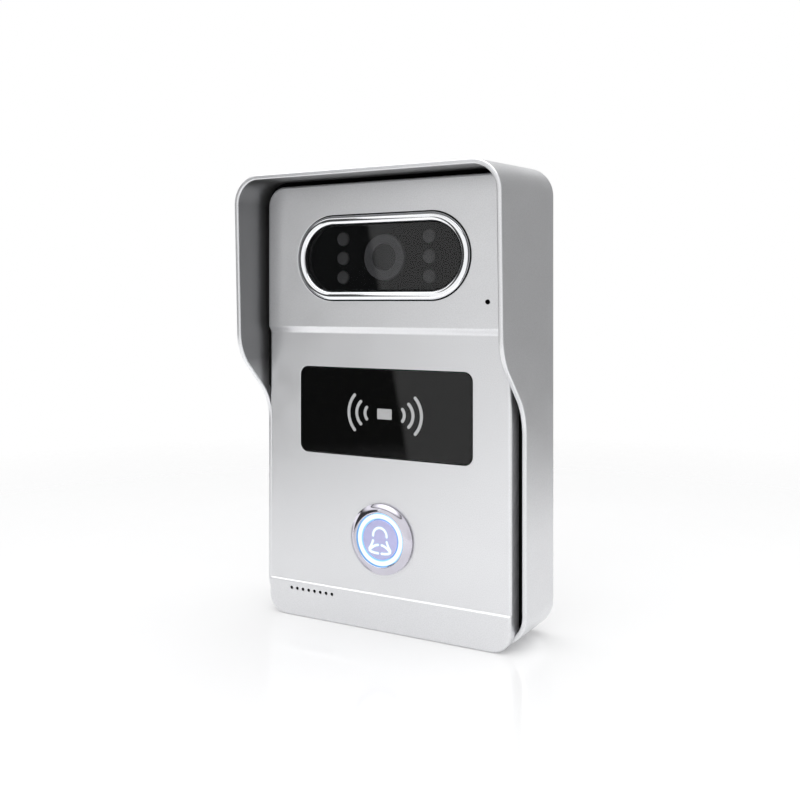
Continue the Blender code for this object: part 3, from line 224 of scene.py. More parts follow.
class Solid:
    """Gathers the faces of one piece, and welds them where they meet."""

    def __init__(self):
        self.points = []
        self.faces = []
        self.slots = []

    def face(self, corners, slot=0):
        start = len(self.points)
        self.points += corners
        self.faces.append(range(start, start + len(corners)))
        self.slots.append(slot)

    def bridge(self, first, second, slot=0):
        """A band of faces between two closed rings with as many points."""
        for k in range(len(first)):
            n = (k + 1) % len(first)
            self.face([first[k], first[n], second[n], second[k]], slot)

    def loft(self, rings, slot=0):
        for first, second in zip(rings, rings[1:]):
            self.bridge(first, second, slot)

    def sweep(self, outline, profile, slot=0):
        """Carries a profile round an outline, which is a function of the inset."""
        rings = [[(x, depth, up) for x, up in outline(inset)] for inset, depth in profile]
        self.loft(rings, slot)
        return rings

    def plate(self, outline, holes, depth, lines=(), slot=0):
        """A face with holes. depth is a number, or a function of the height; lines are kept."""
        loops = [outline, *holes]
        places, edges = [], []
        for loop in loops:
            start = len(places)
            places += loop
            edges += [(start + k, start + (k + 1) % len(loop)) for k in range(len(loop))]
        for line in lines:
            edges.append((len(places), len(places) + 1))
            places += line
        corners, _, triangles, *_ = delaunay_2d_cdt([Vector(p) for p in places], edges, [], 0, 1e-5)
        level = depth if callable(depth) else lambda up: depth
        for triangle in triangles:
            middle = sum((corners[k] for k in triangle), Vector((0, 0))) / 3
            if inside(middle, outline) and not any(inside(middle, hole) for hole in holes):
                spots = [corners[k] for k in triangle]
                self.face([(spot.x, level(spot.y), spot.y) for spot in spots], slot)

    def build(self, name, materials, body, replaces=(), sharp=50):
        solid = bmesh.new()
        corners = [solid.verts.new(Vector((x, -depth, up)) / 1000) for x, depth, up in self.points]
        for face, material in zip(self.faces, self.slots):
            made = solid.faces.new([corners[k] for k in face])
            made.material_index = material
            made.smooth = len(face) <= 4
        bmesh.ops.remove_doubles(solid, verts=solid.verts, dist=2e-6)
        bmesh.ops.dissolve_degenerate(solid, edges=solid.edges, dist=1e-7)
        bmesh.ops.recalc_face_normals(solid, faces=solid.faces)
        mesh = bpy.data.meshes.new(name)
        solid.to_mesh(mesh)
        solid.free()
        mesh.set_sharp_from_angle(angle=math.radians(sharp))
        for material in materials:
            mesh.materials.append(material)
        obj = bpy.data.objects.new(name, mesh)
        bpy.context.scene.collection.objects.link(obj)
        weighted = obj.modifiers.new("even_shading", "WEIGHTED_NORMAL")
        weighted.keep_sharp = True
        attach(obj, body)
        if replaces:
            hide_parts(*replaces)
        return obj


def turned(name, profile, centre, material, body, replaces=(), steps=64, closed=False):
    """A profile of (radius, depth) turned about an axis that runs forwards through centre."""
    solid = Solid()
    rings = [
        [(x, depth, up) for x, up in circle(radius, centre, steps=steps)]
        for radius, depth in profile
    ]
    solid.loft(rings + rings[:1] if closed else rings)
    return solid.build(name, [material], body, replaces)


def arc(centre, radius, start, end, steps):
    """(x, y) points on an arc, with its angles in degrees."""
    turns = [math.radians(start + (end - start) * k / steps) for k in range(steps + 1)]
    return [(centre[0] + radius * math.cos(a), centre[1] + radius * math.sin(a)) for a in turns]


# ---------------------------------------------------------------- materials


class Paint:
    """A Principled material whose colour, roughness and bump come from noise in the object."""

    def __init__(self, name, colour, roughness, metallic=0.0, **values):
        self.material = bpy.data.materials.new(name)
        self.material.use_nodes = True
        self.tree = self.material.node_tree
        self.shader = self.tree.nodes["Principled BSDF"]
        self.colour = colour
        settings = {"Base Color": (*colour, 1), "Roughness": roughness, "Metallic": metallic}
        for socket, value in {**settings, **values}.items():
            self.shader.inputs[socket].default_value = value
        self.place = self.node("ShaderNodeTexCoord").outputs["Object"]

    def node(self, kind, **settings):
        made = self.tree.nodes.new(kind)
        for name, value in settings.items():
            setattr(made, name, value)
        return made

    def link(self, output, to):
        self.tree.links.new(output, to)

    def noise(self, grain, detail=2.0, stretch=(1, 1, 1)):
        """Noise with a grain size in millimetres; stretch lengthens it along an axis."""
        mapping = self.node("ShaderNodeMapping")
        mapping.inputs["Scale"].default_value = [1 / s for s in stretch]
        self.link(self.place, mapping.inputs["Vector"])
        made = self.node("ShaderNodeTexNoise")
        made.inputs["Scale"].default_value = 1000 / grain
        made.inputs["Detail"].default_value = detail
        self.link(mapping.outputs["Vector"], made.inputs["Vector"])
        return made.outputs["Fac"]

    def spread(self, value, low, high, start=0.3, end=0.7):
        """Maps noise from start..end to low..high."""
        made = self.node("ShaderNodeMapRange")
        ends = {"From Min": start, "From Max": end, "To Min": low, "To Max": high}
        for socket, number in ends.items():
            made.inputs[socket].default_value = number
        self.link(value, made.inputs["Value"])
        return made.outputs["Result"]

    def shades(self, value, dark, light, start=0.3, end=0.7):
        """Colours between two shares of the base colour, by a noise value."""
        ramp = self.node("ShaderNodeValToRGB")
        for element, place, share in zip(ramp.color_ramp.elements, (start, end), (dark, light)):
            element.position = place
            element.color = (*[min(c * share, 1) for c in self.colour], 1)
        self.link(value, ramp.inputs["Fac"])
        self.link(ramp.outputs["Color"], self.shader.inputs["Base Color"])
        return self

    def worn(self, value, low, high):
        self.link(self.spread(value, low, high), self.shader.inputs["Roughness"])
        return self

    def bump(self, value, height, strength=1.0):
        """height is how tall the noise stands, in millimetres."""
        made = self.node("ShaderNodeBump")
        made.inputs["Strength"].default_value = strength
        made.inputs["Distance"].default_value = height / 1000
        self.link(value, made.inputs["Height"])
        self.link(made.outputs["Normal"], self.shader.inputs["Normal"])
        return self


def silver_paint(name, painted_shade=None):
    """Fine-grained silver paint. With (low, high, share) given as the second argument, the colour
    is scaled from full at the low height down to share at the high one, as painted shade.
    """
    paint = Paint(name, (0.78, 0.785, 0.80), 0.36, 0.85)
    paint.shades(paint.noise(0.3, 2.0), 0.93, 1.05)
    paint.worn(paint.noise(9.0, 3.0), 0.34, 0.39)
    if painted_shade:
        # Painted shade: the colour is scaled down between the low and the high height.
        low, high, share = painted_shade
        height = paint.node("ShaderNodeSeparateXYZ")
        paint.link(paint.place, height.inputs["Vector"])
        left = paint.spread(height.outputs["Z"], 1, share, low / 1000, high / 1000)
        colour = paint.shader.inputs["Base Color"]
        shade_scale = paint.node("ShaderNodeVectorMath", operation="SCALE")
        paint.link(colour.links[0].from_socket, shade_scale.inputs[0])
        paint.link(left, shade_scale.inputs["Scale"])
        paint.link(shade_scale.outputs["Vector"], colour)
    return paint.bump(paint.noise(0.22, 2.0), 0.004).material


def plain(name, colour, roughness, metallic=0.0, grain=0.4, height=0.004, shade=0.1, **values):
    """A moulded, cast or printed surface with fine grain."""
    paint = Paint(name, colour, roughness, metallic, **values)
    paint.shades(paint.noise(grain * 6, 3.0), 1 - shade, 1 + shade)
    paint.worn(paint.noise(grain * 20, 2.0), roughness * 0.88, min(roughness * 1.12, 1))
    if height:
        paint.bump(paint.noise(grain, 2.0), height)
    return paint.material


def circuit_board(name):
    """Green solder resist over copper tracks."""
    paint = Paint(name, (0.02, 0.14, 0.06), 0.35)
    bricks = paint.node("ShaderNodeTexBrick")
    bricks.inputs["Scale"].default_value = 90
    bricks.inputs["Mortar Size"].default_value = 0.03
    bricks.inputs["Color1"].default_value = (0.012, 0.10, 0.04, 1)
    bricks.inputs["Color2"].default_value = (0.02, 0.15, 0.06, 1)
    bricks.inputs["Mortar"].default_value = (0.05, 0.26, 0.12, 1)
    swap = paint.node("ShaderNodeMapping")
    swap.inputs["Rotation"].default_value = (math.pi / 2, 0, 0)
    paint.link(paint.place, swap.inputs["Vector"])
    paint.link(swap.outputs["Vector"], bricks.inputs["Vector"])
    paint.link(bricks.outputs["Color"], paint.shader.inputs["Base Color"])
    return paint.bump(bricks.outputs["Fac"], 0.03, 0.6).material


MATERIALS = {
    "silver_paint": silver_paint("silver_paint"),
    # Silver for the hood's inner walls, darker towards the top as painted shade under the visor.
    "silver_inside_shaded": silver_paint("silver_inside_shaded", (RIM_START + 5, RIM_START + 24, 0.28)),
    # Black that stands for painted shade: deep inside the hood, behind the camera bezel and inside
    # the panel's openings.
    "black_painted_shade": plain("black_painted_shade", (0.012, 0.012, 0.013), 0.75),
    "black_plastic": plain("black_plastic", (0.016, 0.016, 0.017), 0.5, height=0.01),
    "chrome": plain("chrome", (0.86, 0.87, 0.89), 0.05, 1.0, height=0.0005, shade=0.01),
    "smoked": plain(
        "smoked", (0.004, 0.0045, 0.005), 0.0, shade=0.05, height=0.0, Alpha=0.42, IOR=1.58
    ),
    "reader_glass": plain(
        "reader_glass", (0.003, 0.003, 0.003), 0.0, shade=0.05, height=0.0, Alpha=0.32, IOR=1.85
    ),
    "print_black": plain(
        "print_black", (0.003, 0.0032, 0.0032), 0.6, height=0.0, **{"Specular IOR Level": 0.0}
    ),
    "print_white": plain("print_white", (0.93, 0.94, 0.95), 0.6, shade=0.02, height=0.0),
    "mask_black": plain(
        "mask_black", (0.004, 0.004, 0.004), 0.6, **{"Specular IOR Level": 0.15}
    ),
    "lens_ring": plain("lens_ring", (0.33, 0.33, 0.35), 0.35, 0.2, height=0.002),
    "lens_glass": plain("lens_glass", (0.07, 0.07, 0.075), 0.12, height=0.0, IOR=1.7),
    "led_resin": plain("led_resin", (0.26, 0.26, 0.27), 0.12, height=0.0, IOR=1.6),
    "button_metal": plain("button_metal", (0.53, 0.53, 0.80), 0.34, 0.55, height=0.002, shade=0.03),
    "rubber": plain("rubber", (0.022, 0.022, 0.023), 0.8, height=0.02),
    "button_chrome": plain(
        "button_chrome", (0.62, 0.60, 0.67), 0.07, 1.0, height=0.0005, shade=0.02
    ),
    "steel": plain("steel", (0.55, 0.56, 0.57), 0.28, 1.0, height=0.002),
    "copper": plain("copper", (0.72, 0.36, 0.2), 0.32, 1.0),
    "white_plastic": plain("white_plastic", (0.75, 0.75, 0.72), 0.45),
    "blue_plastic": plain("blue_plastic", (0.04, 0.13, 0.40), 0.4),
    "paper_cone": plain("paper_cone", (0.04, 0.04, 0.04), 0.95, height=0.05),
    "board_green": circuit_board("board_green"),
}


def glow(name, middle, edge, strength, band=None):
    """Light through plastic. A band, as (inner radius, outer radius), is bluer at its edges."""
    paint = Paint(name, (0.10, 0.11, 0.12), 0.4)
    paint.shades(paint.noise(2.0), 0.9, 1.1)
    paint.worn(paint.noise(1.0), 0.35, 0.45)
    paint.shader.inputs["Emission Color"].default_value = (*middle, 1)
    paint.shader.inputs["Emission Strength"].default_value = strength
    if band:
        away = paint.node("ShaderNodeVectorMath", operation="SUBTRACT")
        away.inputs[1].default_value = (0, 0, BUTTON_UP / 1000)
        paint.link(paint.place, away.inputs[0])
        flat = paint.node("ShaderNodeVectorMath", operation="MULTIPLY")
        flat.inputs[1].default_value = (1000, 0, 1000)
        paint.link(away.outputs["Vector"], flat.inputs[0])
        radius = paint.node("ShaderNodeVectorMath", operation="LENGTH")
        paint.link(flat.outputs["Vector"], radius.inputs[0])
        share = paint.spread(radius.outputs["Value"], 0, 1, *band)
        ramp = paint.node("ShaderNodeValToRGB")
        first, last = ramp.color_ramp.elements
        first.color = last.color = (*edge, 1)
        for place in (0.22, 0.78):
            ramp.color_ramp.elements.new(place).color = (*middle, 1)
        paint.link(share, ramp.inputs["Fac"])
        paint.link(ramp.outputs["Color"], paint.shader.inputs["Emission Color"])
    return paint.material


MATERIALS["light_guide"] = glow(
    "light_guide", (0.90, 0.97, 1.0), (0.25, 0.58, 1.0), 1.1, (RING_INNER, RING_OUTER)
)
MATERIALS["bell_white"] = glow("bell_white", (0.93, 0.98, 1.0), (0.3, 0.6, 1.0), 0.95)
MATERIALS["bell_blue"] = glow("bell_blue", (0.35, 0.62, 1.0), (0.3, 0.6, 1.0), 0.75)


def finish_cad_nodes():
    for row in frame["record"]["subparts"]:
        material = MATERIALS.get(row["material_slot"])
        if material:
            slots = frame["nodes"][row["node"]].material_slots
            for slot in slots:
                slot.material = material


# ---------------------------------------------------------------- rain hood


def rim(up):
    """Depth of the hood's rim at a height, and its slope there."""
    high = HOOD_FRONT - VISOR_LEAN
    bend_rise = RIM_BEND * math.sin(RIM_ANGLE)
    bend_shift = RIM_BEND * (1 - math.cos(RIM_ANGLE))
    slant_rise = (high - RIM_LOW - 2 * bend_shift) / math.tan(RIM_ANGLE)
    end = RIM_START + 2 * bend_rise + slant_rise
    if up <= RIM_START:
        return RIM_LOW, 0.0
    if up < RIM_START + bend_rise:
        angle = math.asin((up - RIM_START) / RIM_BEND)
        return RIM_LOW + RIM_BEND * (1 - math.cos(angle)), math.tan(angle)
    if up < end - bend_rise:
        rise = up - RIM_START - bend_rise
        return RIM_LOW + bend_shift + rise * math.tan(RIM_ANGLE), math.tan(RIM_ANGLE)
    if up < end:
        angle = math.asin((end - up) / RIM_BEND)
        return high - RIM_BEND * (1 - math.cos(angle)), math.tan(angle)
    lean = VISOR_LEAN / (HOOD_TOP - end)
    return high + lean * (up - end), lean


def make_hood():
    levels = [RIM_START - 1 + 0.8 * k for k in range(46)]

    def outline(inset):
        return rounded(HOOD_WIDTH, HOOD_HEIGHT, HOOD_CORNER, inset=inset, steps=14, levels=levels)

    def sloped(across, depth, up):
        return across, depth, up - VISOR_SLOPE * depth * (up > SLOPE_START)

    def at_rim(inset, behind):
        ring = []
        for across, up in outline(inset):
            depth, slope = rim(up)
            length = math.hypot(1, slope)
            ring.append(sloped(across, depth - behind / length, up + behind * slope / length))
        return ring

    def at_depth(inset, depth):
        return [sloped(across, min(depth, rim(up)[0] - 4), up) for across, up in outline(inset)]

    back_edge = edge_profile(0, 0, HOOD_BACK_EDGE, to_front=False)[::-1]
    outer_edge = edge_profile(0, 0, RIM_OUTER_EDGE)
    inner_edge = [
        (HOOD_WALL - inset, depth) for inset, depth in edge_profile(0, 0, RIM_INNER_EDGE)
    ][::-1]
    solid = Solid()
    rings = [at_depth(inset, depth) for inset, depth in back_edge]
    rings += [at_rim(inset, -depth) for inset, depth in outer_edge + inner_edge]
    solid.loft(rings)
    shade_line = at_depth(HOOD_WALL, SHADE_DEPTH)
    # The inner walls from the rim back to the shade line take the silver that darkens higher up, as
    # painted shade; behind the shade line they are black, as painted shade.
    solid.bridge(rings[-1], shade_line, slot=2)
    floor_edge = [(HOOD_WALL, 2.5), (HOOD_WALL + 0.3, 1.8), (HOOD_WALL + 1, HOOD_WALL)]
    inner = [shade_line] + [at_depth(inset, depth) for inset, depth in floor_edge]
    solid.loft(inner, slot=1)

    holes = [(spot, WALL_SCREW_RADIUS, 32) for spot in WALL_SCREWS]
    holes.append((CABLE_HOLE, CABLE_HOLE_RADIUS, 64))
    loops = [circle(radius + HOLE_EDGE, spot, steps=steps) for spot, radius, steps in holes]
    solid.plate([(x, up) for x, _, up in rings[0]], loops, 0)
    loops = [circle(radius, spot, steps=steps) for spot, radius, steps in holes]
    # The inside of the back wall is black as well, as painted shade.
    solid.plate([(x, up) for x, _, up in inner[-1]], loops, HOOD_WALL, slot=1)
    for spot, radius, steps in holes:
        mouth = [(HOLE_EDGE, 0), (0.1, 0.08), (0, HOLE_EDGE), (0, HOOD_WALL)]
        solid.loft([
            [(x, depth, up) for x, up in circle(radius + wider, spot, steps=steps)]
            for wider, depth in mouth
        ])
    solid.build(
        "hood_shell",
        [MATERIALS[name] for name in ("silver_paint", "black_painted_shade", "silver_inside_shaded")],
        "station",
        ["rain_hood"],
    )


# ---------------------------------------------------------------- front panel


def soft_step(value):
    value = min(max(value, 0), 1)
    return value * value * (3 - 2 * value)


def face_depth(up):
    """Depth of the panel's front at a height."""
    brow = soft_step((up - BROW_RAMP[0]) / (BROW_RAMP[1] - BROW_RAMP[0]))
    band = soft_step((BAND_RAMP[1] - up) / (BAND_RAMP[1] - BAND_RAMP[0]))
    return PANEL_FACE + brow * BROW_RISE + band * BAND_RISE


def make_panel():
    levels = []
    for (low, high), count in ((BAND_RAMP, 8), (BROW_RAMP, 14)):
        levels += [low - 0.3, high + 0.3]
        levels += [low + (high - low) * k / count for k in range(count + 1)]
    levels.sort()
    hood_room = rounded(
        HOOD_WIDTH, HOOD_HEIGHT, HOOD_CORNER, inset=HOOD_WALL + CLEARANCE, steps=14
    )

    def outline(inset):
        centre = (0, PANEL_CENTRE)
        return rounded(PANEL_WIDTH, PANEL_HEIGHT, PANEL_CORNER, centre, inset, 12, levels)

    def back_ring(inset, forward):
        # The bottom wall stops in front of the hood's rim, and the other walls run into the hood.
        return [
            (x, (PANEL_BACK if inside((x, up), hood_room) else RIM_LOW + CLEARANCE) + forward, up)
            for x, up in outline(inset)
        ]

    solid = Solid()
    rings = [[(x, POCKET, up) for x, up in outline(PANEL_SIDE_WALL)]]
    rings += [back_ring(PANEL_SIDE_WALL, 0), back_ring(0.3, 0), back_ring(0, 0.3)]
    for inset, behind in edge_profile(0, 0, PANEL_EDGE, steps=6):
        rings.append([(x, face_depth(up) + behind, up) for x, up in outline(inset)])
    solid.loft(rings)

    reader = (READER_WIDTH + 0.6, READER_HEIGHT + 0.6, READER_CORNER + 0.3, (0, READER_UP))
    openings = [
        lambda inset: stadium(CAMERA_SPAN, CAMERA_OPENING, (0, CAMERA_UP), inset, 24),
        lambda inset: rounded(*reader, inset),
        lambda inset: circle(BARREL_RADIUS + 0.3, (0, BUTTON_UP), inset, 64),
        lambda inset: circle(MIC_HOLE_RADIUS, MIC_HOLE, inset, 24),
    ]
    openings += [
        lambda inset, s=spot: circle(SOUND_HOLE_RADIUS, s, inset, 24) for spot in SOUND_HOLES
    ]
    edges = [HOLE_EDGE, 0.2, HOLE_EDGE, 0.15] + [0.15] * len(SOUND_HOLES)
    edge = PANEL_WIDTH / 2 - PANEL_EDGE
    lines = [[(-edge, level), (edge, level)] for level in levels]
    front = [opening(-radius) for opening, radius in zip(openings, edges)]
    solid.plate(outline(PANEL_EDGE), front, face_depth, lines)
    back_loops = [opening(0) for opening in openings]
    # The back of the front wall is black, as painted shade.
    solid.plate(outline(PANEL_SIDE_WALL), back_loops, POCKET, slot=1)
    for opening, radius in zip(openings, edges):
        face = face_depth(sum(up for _, up in opening(0)) / len(opening(0)))
        rounding = [
            (-radius * (1 - math.sin(a)), face - radius * (1 - math.cos(a)))
            for a in [math.pi / 2 * k / 4 for k in range(5)]
        ]
        solid.sweep(opening, rounding)
        # Behind the rounded edge, the walls inside the openings are black, as painted shade down in
        # the holes.
        solid.sweep(opening, [rounding[-1], (0, POCKET)], slot=1)
    solid.build(
        "panel_shell",
        [MATERIALS["silver_paint"], MATERIALS["black_painted_shade"]],
        "station",
        ["front_panel"],
    )


# ---------------------------------------------------------------- camera


def make_camera_front():
    centre = (0, CAMERA_UP)

    def outline(inset):
        return stadium(CAMERA_SPAN, BEZEL_RADIUS, centre, inset, 28)

    base = BEZEL_FRONT - 1.35
    half = BEZEL_RING / 2
    crown = [
        (half - half * math.cos(a), base + 1.35 * math.sin(a) ** 0.8)
        for a in [math.pi * k / 16 for k in range(17)]
    ]
    solid = Solid()
    flange = [(0, FLANGE_FRONT), (-BEZEL_FLANGE, FLANGE_FRONT), (-BEZEL_FLANGE, BEZEL_BACK)]
    # The flange and the back are black, as painted shade behind the gap round the ring.
    solid.sweep(outline, [*flange, (BEZEL_RING, BEZEL_BACK), (BEZEL_RING, base - 2)], slot=1)
    solid.sweep(outline, [(0, FLANGE_FRONT), *crown, (BEZEL_RING, base - 2)])
    solid.build(
        "bezel_ring",
        [MATERIALS["chrome"], MATERIALS["black_painted_shade"]],
        "station",
        ["camera_bezel"],
    )

    def glass(inset):
        return stadium(CAMERA_SPAN, WINDOW_RADIUS, centre, inset, 28)

    window = Solid()
    profile = [(0.15, WINDOW_BACK), (0, WINDOW_BACK + 0.15), *edge_profile(0, WINDOW_FRONT, 0.25)]
    rings = window.sweep(glass, profile)
    window.face(rings[0])
    window.face(rings[-1])
    window.build("window_glass", [MATERIALS["smoked"]], "station", ["camera_window"])

    _, _, _, _, mask_back, mask_front = size_of("led_mask")
    led_places = [size_of(f"ir_led_{k}")[:2] for k in range(1, 7)]
    holes = [circle(LENS_RING + 0.3, centre, steps=64)]
    holes += [circle(2.8, spot, steps=32) for spot in led_places]
    mask = Solid()
    mask.sweep(glass, [(0, mask_back), (0, mask_front)])
    for depth in (mask_back, mask_front):
        mask.plate(glass(0), holes, depth)
    for hole in holes:
        mask.bridge([(x, mask_back, up) for x, up in hole], [(x, mask_front, up) for x, up in hole])
    mask.build("mask_plate", [MATERIALS["mask_black"]], "station", ["led_mask"])

    for k, spot in enumerate(led_places, 1):
        _, _, across, _, back, front = size_of(f"ir_led_{k}")
        turns = [math.pi / 2 * n / 10 for n in range(11)]
        dome = [
            (LED_RADIUS * math.sin(a), front - LED_DOME * (1 - math.cos(a))) for a in turns
        ]
        foot = [(LED_RADIUS, back + 1), (across / 2, back + 1), (across / 2, back), (0, back)]
        turned(f"led_dome_{k}", dome + foot, spot, MATERIALS["led_resin"], "station",
               [f"ir_led_{k}"], steps=32)

    _, _, _, _, barrel_back, _ = size_of("lens_barrel")
    ring = [
        (LENS_RADIUS + 0.3, barrel_back),
        (7.0, barrel_back),
        (7.0, LENS_FRONT - 4.8),
        (LENS_RING, LENS_FRONT - 4.2),
        (LENS_RING, LENS_FRONT - 0.25),
        (LENS_RING - 0.07, LENS_FRONT - 0.07),
        (LENS_RING - 0.25, LENS_FRONT),
        (LENS_RADIUS + 0.2, LENS_FRONT),
        (LENS_RADIUS + 0.06, LENS_FRONT - 0.06),
        (LENS_RADIUS, LENS_FRONT - 0.3),
        (LENS_RADIUS, LENS_FRONT - 1.4),
        (LENS_RADIUS + 0.3, LENS_FRONT - 1.8),
    ]
    turned("lens_collar", ring, centre, MATERIALS["lens_ring"], "station",
           ["lens_barrel"], closed=True)
    _, _, glass_across, _, glass_back, glass_front = size_of("lens_glass")
    radius = glass_across / 2
    dome = [(radius * k / 12, glass_front - LENS_SAG * (k / 12) ** 2) for k in range(13)]
    turned("lens_dome", [*dome, (radius, glass_back), (0, glass_back)], centre,
           MATERIALS["lens_glass"], "station", ["lens_glass"])


# ---------------------------------------------------------------- card reader


def ribbon(solid, line, width, back, front, slot=0, closed=False):
    """A flat band of even width along a line of (across, up) points."""
    count = len(line)
    left, right = [], []
    for k, (x, y) in enumerate(line):
        before = line[k - 1] if closed or k else line[k]
        after = line[(k + 1) % count] if closed or k < count - 1 else line[k]
        dx, dy = after[0] - before[0], after[1] - before[1]
        length = math.hypot(dx, dy)
        nx, ny = -dy / length * width / 2, dx / length * width / 2
        left.append((x + nx, y + ny))
        right.append((x - nx, y - ny))
    last = count if closed else count - 1
    for k in range(last):
        n = (k + 1) % count
        quad = [left[k], right[k], right[n], left[n]]
        solid.face([(x, front, up) for x, up in quad], slot)
        solid.face([(x, back, up) for x, up in quad], slot)
        for a, b in ((left[k], left[n]), (right[n], right[k])):
            fore = [(a[0], front, a[1]), (b[0], front, b[1])]
            solid.face([*fore, (b[0], back, b[1]), (a[0], back, a[1])], slot)
    if not closed:
        for k, sign in ((0, -1), (count - 1, 1)):
            (x, y), (a, b) = line[k], (left[k][0] - line[k][0], left[k][1] - line[k][1])
            turns = [math.pi * step / 8 for step in range(9)]
            end = [
                (
                    x + a * math.cos(turn) + sign * b * math.sin(turn),
                    y + b * math.cos(turn) - sign * a * math.sin(turn),
                )
                for turn in turns
            ]
            solid.face([(x, front, up) for x, up in end], slot)
            solid.face([(x, back, up) for x, up in end], slot)
            for (x0, y0), (x1, y1) in zip(end, end[1:]):
                solid.face([(x0, front, y0), (x1, front, y1), (x1, back, y1), (x0, back, y0)], slot)


SYMBOL_SHIFT = 0.3  # of the symbol's centre, to the right and down
SYMBOL_CARD = (6.06, 3.8, 0.35)  # width, height and corner
# The waves' reach from the centre, half height and radius.
SYMBOL_WAVES = ((8.2, 2.1, 3.3), (11.75, 4.05, 5.5), (15.15, 6.35, 9.3))
SYMBOL_STROKE = 1.2


def make_reader():
    def outline(inset):
        return rounded(READER_WIDTH, READER_HEIGHT, READER_CORNER, (0, READER_UP), inset)

    print_front = READER_BACK + 0.2
    cover = Solid()
    profile = [(0, READER_BACK + 0.1), *edge_profile(0, READER_FRONT, 0.2)]
    rings = cover.sweep(outline, profile)
    cover.face(rings[0])
    cover.face(rings[-1])
    cover.build("reader_cover", [MATERIALS["reader_glass"]], "station",
                ["reader_window"])
    backing = Solid()
    rings = backing.sweep(outline, [(0.1, READER_BACK), (0.1, print_front)])
    for ring in rings:
        backing.face(ring)
    backing.build("reader_backing", [MATERIALS["print_black"]], "station")

    symbol = Solid()
    centre = (SYMBOL_SHIFT, READER_UP - SYMBOL_SHIFT)
    card = rounded(*SYMBOL_CARD, centre, steps=4)
    back, front = print_front - 0.05, print_front + 0.03
    symbol.face([(x, front, up) for x, up in card])
    symbol.face([(x, back, up) for x, up in card])
    symbol.bridge([(x, back, up) for x, up in card], [(x, front, up) for x, up in card])
    for reach, half_height, radius in SYMBOL_WAVES:
        spread = math.degrees(math.asin(half_height / radius))
        for side in (0, 180):
            middle = (centre[0] + (reach - radius) * math.cos(math.radians(side)), centre[1])
            wave = arc(middle, radius, side - spread, side + spread, 20)
            ribbon(symbol, wave, SYMBOL_STROKE, back, front)
    symbol.build("reader_symbol", [MATERIALS["print_white"]], "station")


# ---------------------------------------------------------------- call button


def make_button():
    centre = (0, BUTTON_UP)
    seat = PANEL_FACE + 0.3
    mouth = RING_OUTER + 0.3
    crest_radius = 10.0
    edge = 0.75  # height of the head's straight side
    slope = []
    for t in [k / 10 for k in range(11)]:
        rise = math.sin(math.pi / 2 * t) ** 1.1
        radius = BUTTON_FLANGE - (BUTTON_FLANGE - crest_radius) * t
        slope.append((radius, seat + edge + (CREST - seat - edge) * rise))
    profile = [
        (BARREL_RADIUS, seat),
        (BUTTON_FLANGE - 0.1, seat),
        (BUTTON_FLANGE, seat + 0.1),
        (BUTTON_FLANGE, seat + 0.6),
        *slope,
        (mouth + 0.25, CREST),
        (mouth + 0.07, CREST - 0.07),
        (mouth, CREST - 0.25),
        (mouth, RING_BACK - 0.3),
        (8.0, RING_BACK - 0.3),
        (8.0, BARREL_BACK),
        (BARREL_RADIUS, BARREL_BACK),
    ]
    turned("button_head", profile, centre, MATERIALS["button_chrome"], "station",
           ["button_bezel"], steps=96, closed=True)
    ring = [
        (RING_INNER, RING_BACK),
        (RING_INNER, RING_FRONT - 0.15),
        (RING_INNER + 0.15, RING_FRONT),
        (RING_OUTER - 0.15, RING_FRONT),
        (RING_OUTER, RING_FRONT - 0.15),
        (RING_OUTER, RING_BACK),
    ]
    turned("light_ring", ring, centre, MATERIALS["light_guide"], "station",
           ["button_light_ring"], steps=96, closed=True)
    cap = [
        (0, CAP_FRONT),
        (CAP_RADIUS - 0.3, CAP_FRONT),
        (CAP_RADIUS - 0.09, CAP_FRONT - 0.09),
        (CAP_RADIUS, CAP_FRONT - 0.3),
        (CAP_RADIUS, CAP_BACK),
        (0, CAP_BACK),
    ]
    turned("cap_disc", cap, centre, MATERIALS["button_metal"], "call_button",
           ["button_cap"], steps=96)
    make_bell()


def make_spring():
    """The coil behind the cap, built at one fixed length; nothing here shortens it when the cap is
    pressed.
    """
    _, up, across, _, back, front = size_of("button_spring")
    radius = across / 2 - SPRING_WIRE
    steps = SPRING_TURNS * 24
    rings = []
    for step in range(steps + 1):
        turn = 2 * math.pi * SPRING_TURNS * step / steps
        middle = back + SPRING_WIRE + (front - back - 2 * SPRING_WIRE) * step / steps
        ring = []
        for x, y in circle(SPRING_WIRE, (radius, 0), steps=10):
            ring.append((x * math.cos(turn), middle + y, up + x * math.sin(turn)))
        rings.append(ring)
    solid = Solid()
    solid.loft(rings)
    solid.face(rings[0])
    solid.face(rings[-1])
    coil = solid.build(
        "spring_coil", [MATERIALS["steel"]], "station", ["button_spring"]
    )
    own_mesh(coil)


def mirrored(line):
    return [(-x, y) for x, y in line]


def make_bell():
    """A bell in outline, as stencilled on such buttons: an arch, two skirts and a split clapper."""
    arch = [(2.8, 1.3), *arc((0, 1.5), 2.8, 0, 180, 20), (-2.8, 1.3)]
    skirt = [(2.85, -0.5), (3.1, -1.2), (3.67, -2.4), (4.35, -3.45), (4.3, -4.1), (3.55, -4.55),
             (2.15, -4.8), (0.75, -4.85)]
    lip = [(4.1, -3.7), (3.2, -2.95), (2.3, -2.35), (1.5, -2.0), (0.75, -1.85)]
    for name, material, width, front in (
        ("bell_edge", "bell_blue", 1.2, CAP_FRONT + 0.02),
        ("bell_core", "bell_white", 0.92, CAP_FRONT + 0.035),
    ):
        solid = Solid()
        for line in (arch, skirt, mirrored(skirt), lip, mirrored(lip)):
            places = [(x, y + BUTTON_UP) for x, y in line]
            ribbon(solid, places, width, CAP_FRONT - 0.2, front)
        solid.build(name, [MATERIALS[material]], "call_button")


# ---------------------------------------------------------------- small pieces


